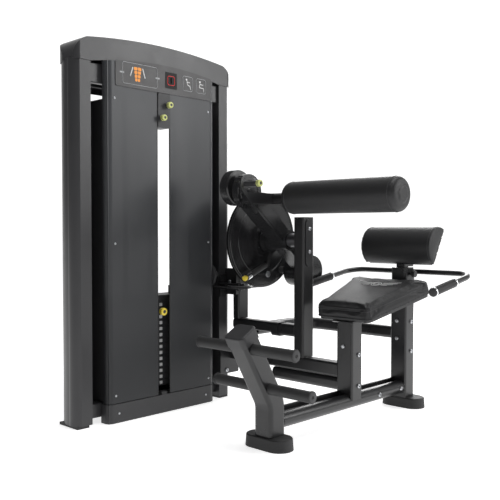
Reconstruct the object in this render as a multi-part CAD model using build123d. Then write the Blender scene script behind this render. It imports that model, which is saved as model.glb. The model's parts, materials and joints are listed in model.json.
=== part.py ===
from build123d import *
import math
import os

# Abdominal crunch and lower-back machine with a covered weight stack.
# Working frame, in millimetres: +X runs along the tower's face towards the lumbar pad, the user faces -X,
# -Y is the user's side of the tower, +Z is up and the floor is z = 0.
# x = 0 is the middle of the tower and y = 0 is the front face of its uprights.
# export_node() moves every node by SHIFT, so that the origin is at the bottom centre of the whole machine.

# Tower
TOWER_WIDTH = 802
TOWER_HEIGHT = 1500
TOWER_DEPTH = 136
UPRIGHT_WIDTH = 68
UPRIGHT_TOP = 1394
FOOT_PAD = 10
CAP_SIDE_Z = 1389
CAP_MID_Z = 1421
CAP_SHOULDER_Z = 1476
SHROUD_WIDTH = 556
SHROUD_FRONT = -26
SHROUD_WALL = 5
SLOT_LEFT = -35
SLOT_RIGHT = 31
BASE_COVER_HEIGHT = 76
REAR_WINDOW = (470, 1290)

# Weight stack and its cable
STACK_Y = 70
PLATE_WIDTH = 400
PLATE_DEPTH = 96
PLATE_THICK = 24.6
PLATE_PITCH = 25
RESTING_PLATES = 12
LIFTED_PLATES = 2
STACK_BOTTOM = 104
BEAM_Y = 111
REAR_SHEET_Y = 128
ROD_X = 125
ROD_RADIUS = 12.5
STEM_RADIUS = 12
STEM_TOP = 645
CABLE_RADIUS = 3
CABLE_CLEARANCE = 0.4
PULLEY_RADIUS = 51
PULLEY_THICK = 11
CABLE_BEND = 48
CABLE_X = 286
TOP_CABLE_Z = 1370
PULLEY_BORE = 10.05

# Plane of the swing frame beside the tower, and the axis the arm swings about
FRAME_X = 420
AXIS_Z = 708
AXLE_RADIUS = 20
BEAM_WIDTH = 54
LOWER_BEAM_Z = (172, 228)
BRACE_BEAM_Z = (118, 168)
MID_BEAM_Z = (314, 358)
PIVOT_POST_Y = -415
PIVOT_POST_TOP = 804
FAR_POST_Y = -49
FAR_POST_TOP = 764

# Swing arm
ARM_FRONT = -338
ARM_THICK = 76
ARM_BAR = 62
HEAD = (178, 905)
HEAD_RADIUS = 68
WEIGHT_CENTRE = (586, 572)
WEIGHT_RADIUS = 68
CAM_RADIUS = 205
CAM_FRONT = -186
CAM_THICK = 18
CAM_LANE_GAP = 7
CABLE_RUN = CAM_RADIUS - CABLE_RADIUS + 1
CABLE_Z = AXIS_Z - CABLE_RUN
HUB_RADIUS = 44
BEARING_GAP = 0.05

# Roller
ROLLER = (295, 878)
ROLLER_RADIUS = 68
ROLLER_NEAR = -972
ROLLER_FAR = -440
ROLLER_TUBE_RADIUS = 22

# Seat side
SEAT_Y = -655
POST_X = 68
POST_Y = 76
POST_CORNER = 9
FRONT_POST = (76, 82, 14)
FRONT_POST_X = -50
FRONT_SEAT_POST_X = 411
REAR_SEAT_POST_X = 790
FLOOR_FOOT = (120, 192, 42)
BASE_TUBE_Z = 86
BASE_TUBE_RADIUS = 28
FOOT_ROD_RADIUS = 19
FOOT_RODS = ((-172, 357), (-90, 213))
FOOT_ROD_HALF = 224
SEAT_FRONT = (348, 460)
SEAT_SLOPE = 15
SEAT_LENGTH = 366
SEAT_FRONT_WIDTH = 258
SEAT_REAR_WIDTH = 392
SEAT_PAD_THICK = 54
SEAT_BOARD_THICK = 10
LUMBAR_CENTRE = (801, 682)
LUMBAR_RADIUS = 86
LUMBAR_LEAN = 30
LUMBAR_HALF = 172
SOCKET_WIDTH = 76
KNOB_Z = 566
HANDLE_HALF = 300
HANDLE_FRONT = (524, 519)
HANDLE_REAR = (731, 554)
HANDLE_CROSS_X = 782
HANDLE_RADIUS = 11
GRIP_RADIUS = 16
TUBE_WALL = 3

# Bottom centre of the whole machine in the working frame
SHIFT = (-224.312, 416.75, 0)


def side(y):
    """Plane across the machine at depth y: sketch x and y are the machine's x and z, extruded towards -Y."""
    return Plane(origin=(0, y, 0), x_dir=(1, 0, 0), z_dir=(0, -1, 0))


def box(x0, x1, y0, y1, z0, z1):
    """Box between two corners."""
    return Pos((x0 + x1) / 2, (y0 + y1) / 2, (z0 + z1) / 2) * Box(x1 - x0, y1 - y0, z1 - z0)


def rod_x(x0, x1, y, z, radius):
    """Cylinder along X."""
    return Pos((x0 + x1) / 2, y, z) * Rot(0, 90, 0) * Cylinder(radius, x1 - x0)


def rod_y(x, y0, y1, z, radius):
    """Cylinder along Y."""
    return Pos(x, (y0 + y1) / 2, z) * Rot(90, 0, 0) * Cylinder(radius, y1 - y0)


def rod_z(x, y, z0, z1, radius):
    """Cylinder along Z."""
    return Pos(x, y, (z0 + z1) / 2) * Cylinder(radius, z1 - z0)


def tube_section(width, height, corner, wall=TUBE_WALL):
    """Hollow rounded section."""
    outer = RectangleRounded(width, height, corner)
    return outer - RectangleRounded(width - 2 * wall, height - 2 * wall, corner - wall)


def beam_y(x, y0, y1, z0, z1, width, corner=9):
    """Hollow beam along Y."""
    plane = Plane(origin=(x, y0, (z0 + z1) / 2), x_dir=(1, 0, 0), z_dir=(0, 1, 0))
    return extrude(plane * tube_section(width, z1 - z0, corner), amount=y1 - y0)


def post(x, y, z0, z1, width, depth, corner):
    """Hollow upright post."""
    return extrude(Pos(x, y, z0) * tube_section(width, depth, corner), amount=z1 - z0)


def bolt_y(x, y, z, radius=9, head=6):
    """Domed hexagon socket bolt head standing out towards -Y from depth y."""
    head_disc = rod_y(x, y - head, y, z, radius)
    head_disc = fillet(head_disc.edges().filter_by(GeomType.CIRCLE).sort_by(Axis.Y)[0], head * 0.6)
    socket = extrude(side(y - head - 0.1) * Pos(x, z) * RegularPolygon(radius * 0.5, 6), amount=-head * 0.6)
    return head_disc - socket


def bolt_x(x, y, z, radius=8, head=6):
    """Bolt end standing out towards -X from x."""
    head_disc = rod_x(x - head, x, y, z, radius)
    return fillet(head_disc.edges().filter_by(GeomType.CIRCLE).sort_by(Axis.X)[0], head * 0.6)


# Tower ----------------------------------------------------------------------------------------------------

def upright(side_sign):
    """Tower upright with a bowed outer side, standing on its foot pad."""
    inner = TOWER_WIDTH / 2 - UPRIGHT_WIDTH
    outer = TOWER_WIDTH / 2
    with BuildSketch() as section:
        with BuildLine():
            Polyline((outer - 20, 0), (inner, 0), (inner, TOWER_DEPTH), (outer - 28, TOWER_DEPTH))
            ThreePointArc((outer - 28, TOWER_DEPTH), (outer - 6, TOWER_DEPTH * 0.72), (outer + 3, TOWER_DEPTH * 0.36))
            ThreePointArc((outer + 3, TOWER_DEPTH * 0.36), (outer - 3, 12), (outer - 20, 0))
        make_face()
    body = extrude(section.sketch, amount=UPRIGHT_TOP - FOOT_PAD)
    hollow = extrude(offset(section.sketch, amount=-TUBE_WALL), amount=UPRIGHT_TOP - FOOT_PAD)
    shell = Pos(0, 0, FOOT_PAD) * (body - hollow)
    return shell if side_sign > 0 else mirror(shell, about=Plane.YZ)


def cap_outline(inset):
    """Front outline of the arched header, with rounded shoulders."""
    half = TOWER_WIDTH / 2 + 3 - inset
    shoulder = CAP_SHOULDER_Z - inset
    foot = half - UPRIGHT_WIDTH - 3
    with BuildSketch() as outline:
        with BuildLine():
            ThreePointArc((-half + 54, shoulder), (0, TOWER_HEIGHT - inset), (half - 54, shoulder))
            ThreePointArc((half - 54, shoulder), (half - 18, shoulder - 24), (half, shoulder - 68))
            Polyline((half, shoulder - 68), (half, CAP_SIDE_Z), (foot, CAP_SIDE_Z))
            ThreePointArc((foot, CAP_SIDE_Z), (0, CAP_MID_Z), (-foot, CAP_SIDE_Z))
            Polyline((-foot, CAP_SIDE_Z), (-half, CAP_SIDE_Z), (-half, shoulder - 68))
            ThreePointArc((-half, shoulder - 68), (-half + 18, shoulder - 24), (-half + 54, shoulder))
        make_face()
    return outline.sketch


def cap_plan(inset):
    """Plan of the header, which follows the uprights' bowed sides."""
    half = TOWER_WIDTH / 2 + 6 - inset
    front = inset - 4
    back = TOWER_DEPTH + 3 - inset
    with BuildSketch() as plan:
        with BuildLine():
            Line((-half + 26, front), (half - 26, front))
            ThreePointArc((half - 26, front), (half - 6, front + 10), (half, TOWER_DEPTH * 0.36))
            ThreePointArc((half, TOWER_DEPTH * 0.36), (half - 8, TOWER_DEPTH * 0.72), (half - 30, back))
            Line((half - 30, back), (-half + 30, back))
            ThreePointArc((-half + 30, back), (-half + 8, TOWER_DEPTH * 0.72), (-half, TOWER_DEPTH * 0.36))
            ThreePointArc((-half, TOWER_DEPTH * 0.36), (-half + 6, front + 10), (-half + 26, front))
        make_face()
    return plan.sketch


def cap_block(inset, drop):
    """Solid header, smaller on every side by the inset and lowered by the drop."""
    body = extrude(side(TOWER_DEPTH + 20) * Pos(0, -drop) * cap_outline(inset), amount=TOWER_DEPTH + 40)
    return body & extrude(Pos(0, 0, CAP_SIDE_Z - 60) * cap_plan(inset), amount=200)


def top_cap():
    """Arched header over both uprights, a shell that is open underneath."""
    wall = 4
    rim = box(-TOWER_WIDTH / 2 - 20, TOWER_WIDTH / 2 + 20, -20, TOWER_DEPTH + 20, UPRIGHT_TOP, TOWER_HEIGHT)
    seat = rim.moved(Location((0, 0, UPRIGHT_TOP - TOWER_HEIGHT + 0.5))) & extrude(
        Pos(0, 0, CAP_SIDE_Z - 60) * cap_plan(2.5), amount=200)
    return cap_block(0, 0) - (cap_block(wall, wall) & rim) - seat


def top_crossbeam():
    """Beam between the uprights' tops."""
    half = TOWER_WIDTH / 2 - UPRIGHT_WIDTH
    plane = Plane(origin=(-half, BEAM_Y, 1350), x_dir=(0, 1, 0), z_dir=(1, 0, 0))
    beam = extrude(plane * tube_section(32, 76, 5), amount=2 * half)
    lugs = [box(s * ROD_X - 22, s * ROD_X + 22, STACK_Y - 20, BEAM_Y + 10, 1304, 1312) for s in (-1, 1)]
    bored = [lug - rod_z(s * ROD_X, STACK_Y, 1300, 1316, ROD_RADIUS) for lug, s in zip(lugs, (-1, 1))]
    return beam + bored


def front_crossbeam():
    """Beam behind the front panels' tops."""
    half = TOWER_WIDTH / 2 - UPRIGHT_WIDTH
    plane = Plane(origin=(-half, 26, 1349), x_dir=(0, 1, 0), z_dir=(1, 0, 0))
    return extrude(plane * tube_section(28, 76, 5), amount=2 * half)


def base_beam():
    """Beam between the uprights' feet, which carries the stack."""
    half = TOWER_WIDTH / 2 - UPRIGHT_WIDTH
    plane = Plane(origin=(-half, STACK_Y, 52), x_dir=(0, 1, 0), z_dir=(1, 0, 0))
    return extrude(plane * tube_section(90, 56, 6), amount=2 * half)


def bent_panel(x0, x1, z0, z1, round_left, round_right, depth):
    """Upright sheet in front of the uprights, with its outer sides turned back round a corner."""
    corner = 24
    with BuildSketch() as outline:
        with Locations(((x0 + x1) / 2, SHROUD_FRONT + depth / 2)):
            Rectangle(x1 - x0, depth)
        front = outline.vertices().sort_by(Axis.Y)[:2].sort_by(Axis.X)
        rounded = [v for v, wanted in ((front[0], round_left), (front[-1], round_right)) if wanted]
        fillet(rounded, radius=corner)
        with Locations(((x0 + x1) / 2 + (SHROUD_WALL * (round_left - round_right)) / 2,
                        SHROUD_FRONT + depth / 2 + SHROUD_WALL)):
            Rectangle(x1 - x0 - SHROUD_WALL * (round_left + round_right), depth, mode=Mode.SUBTRACT)
    sheet = extrude(Pos(0, 0, z0) * outline.sketch, amount=z1 - z0)
    if round_left:
        sheet += corner_web(x0 + SHROUD_WALL, 1, z0, z1)
    if round_right:
        sheet += corner_web(x1 - SHROUD_WALL, -1, z0, z1)
    return sheet


def corner_web(x, direction, z0, z1):
    """Fill behind a rounded panel corner, so that the wall keeps its thickness there."""
    y = SHROUD_FRONT + SHROUD_WALL
    leg = 14
    with BuildSketch() as web:
        with BuildLine():
            Polyline((x, y), (x + direction * leg, y), (x, y + leg), close=True)
        make_face()
    return extrude(Pos(0, 0, z0) * web.sketch, amount=z1 - z0)


def above_header(gap, depth0, depth1):
    """Region above the header's arched lower edge, lowered by a gap."""
    half = TOWER_WIDTH / 2 - UPRIGHT_WIDTH
    with BuildSketch(side(depth1)) as region:
        with BuildLine():
            ThreePointArc((-half, CAP_SIDE_Z - gap), (0, CAP_MID_Z - gap), (half, CAP_SIDE_Z - gap))
            Polyline((half, CAP_SIDE_Z - gap), (half, TOWER_HEIGHT), (-half, TOWER_HEIGHT), (-half, CAP_SIDE_Z - gap))
        make_face()
    return extrude(region.sketch, amount=depth1 - depth0)


def shroud_left():
    """Smoked front panel left of the slot."""
    panel = bent_panel(-SHROUD_WIDTH / 2, SLOT_LEFT, BASE_COVER_HEIGHT + 3, CAP_MID_Z, True, False, 32)
    return panel - above_header(3, -60, 60)


def shroud_right():
    """Smoked front panel right of the slot."""
    panel = bent_panel(SLOT_RIGHT, SHROUD_WIDTH / 2, BASE_COVER_HEIGHT + 3, CAP_MID_Z, False, True, 32)
    return panel - above_header(3, -60, 60)


def base_cover():
    """Kick cover below the front panels."""
    return bent_panel(-SHROUD_WIDTH / 2, SHROUD_WIDTH / 2, 2, BASE_COVER_HEIGHT, True, True, 50)


def rear_cover():
    """Sheets round the stack: two side guards and a rear frame with a tall window."""
    half = TOWER_WIDTH / 2 - UPRIGHT_WIDTH
    low, high = REAR_WINDOW
    side_x = SHROUD_WIDTH / 2
    near, far = REAR_SHEET_Y, REAR_SHEET_Y + 4
    rear = [box(-half, half, near, far, 24, low), box(-half, half, near, far, high, 1388)]
    rear += [box(-half, 12 - side_x, near, far, low, high), box(side_x - 12, half, near, far, low, high)]
    guards = [box(x - 2, x + 2, 12, near, 84, 1255) for x in (8 - side_x, side_x - 8)]
    return rear + guards


def header_panel():
    """Instruction panel below the header."""
    panel = box(-240, 260, SHROUD_FRONT - 3, SHROUD_FRONT, 1306, CAP_MID_Z) - above_header(3, -60, 60)
    return fillet(panel.edges().filter_by(Axis.Y), 8)


def guide_rods():
    """Two chromed rods that guide the stack."""
    return [rod_z(s * ROD_X, STACK_Y, 80, 1312, ROD_RADIUS) for s in (-1, 1)]


def weight_plate(z, pin_hole):
    """One stack plate with its guide, stem and pin holes and a rounded front."""
    plate = box(-PLATE_WIDTH / 2, PLATE_WIDTH / 2, STACK_Y - PLATE_DEPTH / 2, STACK_Y + PLATE_DEPTH / 2,
                z, z + PLATE_THICK)
    plate = fillet(plate.edges().filter_by(Axis.Z), 6)
    plate = chamfer(plate.edges().group_by(Axis.Z)[-1], 1)
    for sign in (-1, 1):
        plate -= rod_z(sign * ROD_X, STACK_Y, z - 1, z + 30, ROD_RADIUS + 0.5)
    plate -= rod_z(0, STACK_Y, z - 1, z + 30, STEM_RADIUS + 0.6)
    if pin_hole:
        plate -= rod_y(0, 0, STACK_Y + 22, z + PLATE_THICK / 2, 5.3)
    return plate


def resting_plates():
    """Plates that stay on the bumpers with the pin in the second plate."""
    return [weight_plate(STACK_BOTTOM + i * PLATE_PITCH, True) for i in range(RESTING_PLATES)]


def lifted_base(i):
    """Height of the underside of lifted plate i, counted from below."""
    return STACK_BOTTOM + (RESTING_PLATES + i) * PLATE_PITCH + 0.4


def lifted_plates():
    """The two plates above the pin, which rise with the stem."""
    return [weight_plate(lifted_base(i), True) for i in range(LIFTED_PLATES)]


def pin_height():
    """Height of the selector pin, in the lower lifted plate."""
    return lifted_base(0) + PLATE_THICK / 2


def head_plate():
    """Head plate on top of the stack with two guide bushes."""
    z = lifted_base(LIFTED_PLATES)
    plate = box(-PLATE_WIDTH / 2, PLATE_WIDTH / 2, STACK_Y - PLATE_DEPTH / 2, STACK_Y + PLATE_DEPTH / 2, z, z + 26)
    plate = fillet(plate.edges().filter_by(Axis.Z), 6)
    for sign in (-1, 1):
        plate += rod_z(sign * ROD_X, STACK_Y, z + 26, z + 60, ROD_RADIUS + 8)
    for sign in (-1, 1):
        plate -= rod_z(sign * ROD_X, STACK_Y, z - 1, z + 70, ROD_RADIUS + 0.4)
    return plate - rod_z(0, STACK_Y, z - 1, z + 70, STEM_RADIUS)


def selector_stem():
    """Bored stem that hangs from the cable and carries the pinned plates."""
    stem = rod_z(0, STACK_Y, STACK_BOTTOM + 8, STEM_TOP, STEM_RADIUS)
    for i in range(RESTING_PLATES):
        stem -= rod_y(0, 40, 120, STACK_BOTTOM + i * PLATE_PITCH + PLATE_THICK / 2, 5.3)
    for i in range(LIFTED_PLATES):
        stem -= rod_y(0, 40, 120, lifted_base(i) + PLATE_THICK / 2, 5.3)
    collar_z = lifted_base(LIFTED_PLATES) + 26
    stem += rod_z(0, STACK_Y, collar_z, collar_z + 22, STEM_RADIUS + 6)
    return stem - rod_z(0, STACK_Y, pin_height() + 8, STEM_TOP + 1, CABLE_RADIUS + 1.2)


def selector_pin():
    """Selector pin with its round knob."""
    z = pin_height()
    shank = rod_y(0, -4, STACK_Y + 18, z, 4.8)
    knob = rod_y(0, -26, -4, z, 15)
    knob = fillet(knob.edges().filter_by(GeomType.CIRCLE), 4)
    return shank + knob


def stack_bumpers():
    """Rubber bumpers that the lowest plate rests on."""
    return [rod_z(s * ROD_X, STACK_Y, 80, STACK_BOTTOM, 24) - rod_z(s * ROD_X, STACK_Y, 79, 110, ROD_RADIUS)
            for s in (-1, 1)]


def addon_housing():
    """Housing of the small added weights, in the top of the slot."""
    body = box(SLOT_LEFT + 2, SLOT_RIGHT - 2, SHROUD_FRONT - 4, 24, 1165, 1304)
    body = fillet(body.edges().filter_by(Axis.Y), 8)
    for x, z in addon_places():
        body -= rod_y(x, SHROUD_FRONT - 5, SHROUD_FRONT + 20, z, 6.5)
    return body


def addon_places():
    """Places of the two pull knobs on the housing."""
    return ((14, 1258), (-18, 1204))


def addon_knob(place):
    """Pull knob that adds one small weight to the stack."""
    x, z = place
    shank = rod_y(x, SHROUD_FRONT - 12, SHROUD_FRONT + 19, z, 6)
    knob = rod_y(x, SHROUD_FRONT - 30, SHROUD_FRONT - 12, z, 12)
    return shank + fillet(knob.edges().filter_by(GeomType.CIRCLE), 3)


def tower_feet():
    """Rubber pads under the uprights and levelling pads under the base beam."""
    centre = TOWER_WIDTH / 2 - UPRIGHT_WIDTH / 2
    pads = [box(s * centre - 30, s * centre + 22, 4, TOWER_DEPTH - 6, 0, FOOT_PAD) for s in (-1, 1)]
    pads += [rod_z(s * 150, STACK_Y, 0, 24, 22) for s in (-1, 1)]
    return pads


# Pulleys and cable ---------------------------------------------------------------------------------------

def pulley():
    """Grooved pulley about Z with a bore for its stud and six lightening holes."""
    half = PULLEY_THICK / 2
    groove = CABLE_RADIUS + CABLE_CLEARANCE
    with BuildSketch(Plane.XZ) as profile:
        with BuildLine():
            Polyline((PULLEY_BORE, -half), (PULLEY_RADIUS, -half), (PULLEY_RADIUS, -groove - 0.6),
                     (CABLE_BEND, -groove))
            ThreePointArc((CABLE_BEND, -groove), (CABLE_BEND - groove, 0), (CABLE_BEND, groove))
            Polyline((CABLE_BEND, groove), (PULLEY_RADIUS, groove + 0.6), (PULLEY_RADIUS, half),
                     (PULLEY_BORE, half), (PULLEY_BORE, -half))
        make_face()
    wheel = revolve(profile.sketch, axis=Axis.Z)
    for i in range(6):
        wheel -= Rot(0, 0, i * 60) * rod_z(28, 0, -half - 1, half + 1, 7)
    return wheel


def front_pulley_centre():
    """Centre of the pulley in front of the right upright."""
    return (CABLE_X + CABLE_BEND, cable_y() + CABLE_BEND, CABLE_Z)


def front_pulley():
    """Pulley that turns the cam's cable into the tower, about an upright stud."""
    return Pos(*front_pulley_centre()) * pulley()


def turn_pulley_centre():
    """Centre of the pulley that turns the cable upwards."""
    return (CABLE_X, STACK_Y - CABLE_BEND, CABLE_Z + CABLE_BEND)


def turn_pulley():
    """Pulley inside the tower that turns the cable upwards."""
    return Pos(*turn_pulley_centre()) * Rot(0, 90, 0) * pulley()


def top_pulley_centres():
    """Centres of the outer and inner pulleys under the header."""
    z = TOP_CABLE_Z - CABLE_BEND
    return (CABLE_X - CABLE_BEND, STACK_Y, z), (CABLE_BEND, STACK_Y, z)


def top_pulley(index):
    """Pulley under the header."""
    return Pos(*top_pulley_centres()[index]) * Rot(90, 0, 0) * pulley()


def headed_stud(length, gap):
    """Stud about Z from 0 down to -length, with a washer face under a pulley and a head over it."""
    half = PULLEY_THICK / 2
    stud = rod_z(0, 0, -length, half + gap + 5, 10)
    stud += rod_z(0, 0, -length, -half - gap, 15)
    return stud + rod_z(0, 0, half + gap, half + gap + 5, 15)


def pulley_studs():
    """Studs of the three pulleys inside the tower."""
    x, y, z = turn_pulley_centre()
    wall = TOWER_WIDTH / 2 - UPRIGHT_WIDTH
    studs = [Pos(x, y, z) * Rot(0, -90, 0) * headed_stud(wall - x, 0.5)]
    for x, y, z in top_pulley_centres():
        studs.append(Pos(x, y, z) * Rot(90, 0, 0) * headed_stud(BEAM_Y - 16 - y, 0.5))
    return studs


def pulley_bracket():
    """Forked bracket of the front pulley, bolted to the right upright."""
    x, y, z = front_pulley_centre()
    half = PULLEY_THICK / 2
    fork = box(x - 16, x + 24, y - 16, -8, z + half + 0.5, z + half + 7)
    fork += box(x - 16, x + 24, y - 16, -8, z - half - 7, z - half - 0.5)
    fork = fillet(fork.edges().filter_by(Axis.Z).group_by(Axis.Y)[0], 12)
    fork += box(x, x + 36, -8, 0, z - 50, z + 50)
    stud = rod_z(x, y, z - half - 12, z + half + 12, 10)
    return fork + stud


def cable_y():
    """Depth of the cable where it leaves the cam."""
    return CAM_FRONT + CAM_THICK / 2 + CAM_LANE_GAP / 2


def cable_start():
    """Point where the cable leaves the cam for the front pulley."""
    return (FRAME_X, cable_y(), CABLE_Z)


def lift_cable():
    """Steel cable from the cam over four pulleys to the stem, along its real route."""
    start = cable_start()
    route = [start, (CABLE_X, cable_y(), CABLE_Z), (CABLE_X, STACK_Y, CABLE_Z), (CABLE_X, STACK_Y, TOP_CABLE_Z),
             (0, STACK_Y, TOP_CABLE_Z), (0, STACK_Y, STEM_TOP - 4)]
    path = FilletPolyline(*route, radius=CABLE_BEND)
    first = Vector(*route[1]) - Vector(*route[0])
    section = Plane(origin=start, z_dir=first) * Circle(CABLE_RADIUS)
    return sweep(section, path=path)


# Swing frame ---------------------------------------------------------------------------------------------

def lower_beam():
    """Beam from the tower to the front seat post, which carries the pivot post."""
    return beam_y(FRAME_X, SEAT_Y + POST_Y / 2, -8, *LOWER_BEAM_Z, BEAM_WIDTH)


def brace_beam():
    """Brace under the lower beam, with a closed end."""
    beam = beam_y(FRAME_X, SEAT_Y + POST_Y / 2, -262, *BRACE_BEAM_Z, 46, 16)
    plug = fillet(box(FRAME_X - 19, FRAME_X + 19, -270, -262, BRACE_BEAM_Z[0] + 4, BRACE_BEAM_Z[1] - 4).edges()
                  .filter_by(Axis.Y), 12)
    return beam + plug


def mid_beam():
    """Beam from the far post to the pivot post, thicker where its sleeve is clamped."""
    low, high = MID_BEAM_Z
    beam = beam_y(FRAME_X, -300, FAR_POST_Y + 22, low, high, 48, 12)
    sleeve = beam_y(FRAME_X, PIVOT_POST_Y + 27, -262, low - 7, high, 58, 14)
    bore = box(FRAME_X - 24, FRAME_X + 24, -310, -250, low, high)
    clamp = beam_y(FRAME_X, -300, -262, low - 12, high + 2, 66, 16) - bore
    return beam + (sleeve - bore) + clamp


def link_tube():
    """Bent tube from the rear seat post to the mid beam."""
    z = 312
    cross_y = -112
    route = [(REAR_SEAT_POST_X, SEAT_Y + POST_Y / 2, z), (REAR_SEAT_POST_X, cross_y, z),
             (FRAME_X + 24, cross_y, z)]
    path = FilletPolyline(*route, radius=110)
    section = Plane(origin=route[0], x_dir=(1, 0, 0), z_dir=(0, 1, 0)) * tube_section(52, 52, 16)
    return sweep(section, path=path)


def pivot_post():
    """Near bearing post, closed on top and bored for the axle."""
    low = LOWER_BEAM_Z[1]
    tube = post(FRAME_X, PIVOT_POST_Y, low, PIVOT_POST_TOP, 68, 53, 8)
    lid = extrude(Pos(FRAME_X, PIVOT_POST_Y, PIVOT_POST_TOP - 3) * RectangleRounded(68, 53, 8), amount=3)
    bush = rod_y(FRAME_X, PIVOT_POST_Y - 26.5, PIVOT_POST_Y + 26.5, AXIS_Z, AXLE_RADIUS + 8)
    return tube + lid + bush - rod_y(FRAME_X, PIVOT_POST_Y - 40, PIVOT_POST_Y + 40, AXIS_Z, AXLE_RADIUS)


def far_post():
    """Far bearing post beside the tower."""
    tube = post(FRAME_X, FAR_POST_Y, MID_BEAM_Z[1], FAR_POST_TOP, 64, 38, 8)
    lid = extrude(Pos(FRAME_X, FAR_POST_Y, FAR_POST_TOP - 3) * RectangleRounded(64, 38, 8), amount=3)
    bush = rod_y(FRAME_X, FAR_POST_Y - 19, FAR_POST_Y + 19, AXIS_Z, AXLE_RADIUS + 8)
    return tube + lid + bush - rod_y(FRAME_X, FAR_POST_Y - 40, FAR_POST_Y + 40, AXIS_Z, AXLE_RADIUS)


def pivot_axle():
    """Fixed axle between the two bearing posts, with collars beside the arm and the cam."""
    near = PIVOT_POST_Y - 26.5
    far = FAR_POST_Y + 19
    axle = rod_y(FRAME_X, near, far, AXIS_Z, AXLE_RADIUS)
    axle += rod_y(FRAME_X, PIVOT_POST_Y + 26.5, ARM_FRONT - 6, AXIS_Z, AXLE_RADIUS + 9)
    axle += rod_y(FRAME_X, CAM_FRONT + CAM_THICK + 8, FAR_POST_Y - 19, AXIS_Z, AXLE_RADIUS + 9)
    return axle


def bolt_plates():
    """Arched plate on the pivot post and the two plates that bolt the swing frame to the tower."""
    y = PIVOT_POST_Y - 26.5
    with BuildSketch(side(y)) as arch:
        with Locations((FRAME_X, 698)):
            SlotOverall(196, 44, rotation=90)
    arched = extrude(arch.sketch, amount=4)
    upper = box(FRAME_X - 48, FRAME_X - 32, FAR_POST_Y - 19, 0, 465, 581)
    lower = box(334, FRAME_X + 27, -8, 0, 108, LOWER_BEAM_Z[1])
    return [arched, fillet(upper.edges().filter_by(Axis.X), 5), fillet(lower.edges().filter_by(Axis.Y), 5)]


# Arm -----------------------------------------------------------------------------------------------------

def arm_bar():
    """Straight bar between the arm's two ends."""
    dx = WEIGHT_CENTRE[0] - HEAD[0]
    dz = WEIGHT_CENTRE[1] - HEAD[1]
    length = math.hypot(dx, dz)
    angle = math.degrees(math.atan2(dz, dx))
    middle = ((HEAD[0] + WEIGHT_CENTRE[0]) / 2, (HEAD[1] + WEIGHT_CENTRE[1]) / 2)
    return extrude(side(ARM_FRONT) * Pos(*middle) * Rot(0, 0, angle) * Rectangle(length, ARM_BAR), amount=-ARM_THICK)


def swing_arm():
    """Welded arm: bar, round head, round lower end and the hub that turns on the axle."""
    bar = arm_bar()
    head = rod_y(HEAD[0], ARM_FRONT, ARM_FRONT + 30, HEAD[1], HEAD_RADIUS)
    far_cap = rod_y(HEAD[0] + 10, ARM_FRONT + 62, ARM_FRONT + 112, HEAD[1] + 16, HEAD_RADIUS + 4)
    head += fillet(far_cap.edges().filter_by(GeomType.CIRCLE), 8)
    head += rod_y(HEAD[0], ARM_FRONT, ARM_FRONT + ARM_THICK, HEAD[1], ARM_BAR / 2 + 8)
    hub = rod_y(FRAME_X, ARM_FRONT - 4, CAM_FRONT, AXIS_Z, HUB_RADIUS)
    end = rod_y(WEIGHT_CENTRE[0], ARM_FRONT, ARM_FRONT + ARM_THICK, WEIGHT_CENTRE[1], ARM_BAR / 2)
    arm = bar + head + hub + end
    arm -= rod_y(FRAME_X, ARM_FRONT - 20, CAM_FRONT + 20, AXIS_Z, AXLE_RADIUS + BEARING_GAP)
    arm -= rod_y(HEAD[0] - 33, ARM_FRONT - 10, ARM_FRONT + 28, HEAD[1] + 27, 10.5)
    return arm


def cam_disc():
    """Large cable cam with a two-lane rim, a bolted hub disc and lightening holes."""
    outer = rod_y(FRAME_X, CAM_FRONT, CAM_FRONT + CAM_THICK, AXIS_Z, CAM_RADIUS)
    lane = 8
    middle = CAM_FRONT + CAM_THICK / 2
    groove = rod_y(FRAME_X, middle - lane, middle + lane, AXIS_Z, CAM_RADIUS + 1)
    groove -= rod_y(FRAME_X, middle - lane, middle + lane, AXIS_Z, CAM_RADIUS - 2 * CABLE_RADIUS + 0.4)
    disc = outer - groove
    disc -= rod_y(FRAME_X, CAM_FRONT - 1, CAM_FRONT + CAM_THICK + 1, AXIS_Z, AXLE_RADIUS + BEARING_GAP)
    collar = rod_y(FRAME_X, CAM_FRONT - 22, CAM_FRONT, AXIS_Z, 73)
    collar -= rod_y(FRAME_X, CAM_FRONT - 30, CAM_FRONT + 1, AXIS_Z, HUB_RADIUS)
    for i in range(10):
        turn = math.radians(36 * i)
        collar += rod_y(FRAME_X + 60 * math.cos(turn), CAM_FRONT - 26, CAM_FRONT - 21, AXIS_Z + 60 * math.sin(turn), 5)
    return disc + collar


def cam_cable():
    """Cable wound in the cam's front lane, which turns with the cam."""
    y = CAM_FRONT + CAM_THICK / 2 - CAM_LANE_GAP / 2
    ring = Torus(CABLE_RUN, CABLE_RADIUS)
    return Pos(FRAME_X, y, AXIS_Z) * Rot(90, 0, 0) * ring


def counterweight():
    """Counterweight on the arm's lower end."""
    x, z = WEIGHT_CENTRE
    disc = rod_y(x, ARM_FRONT + 8, ARM_FRONT + ARM_THICK + 46, z, WEIGHT_RADIUS)
    disc = fillet(disc.edges().filter_by(GeomType.CIRCLE).sort_by(Axis.Y)[0], 4)
    return disc - arm_bar() - rod_y(x, ARM_FRONT, ARM_FRONT + ARM_THICK, z, ARM_BAR / 2)


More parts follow.
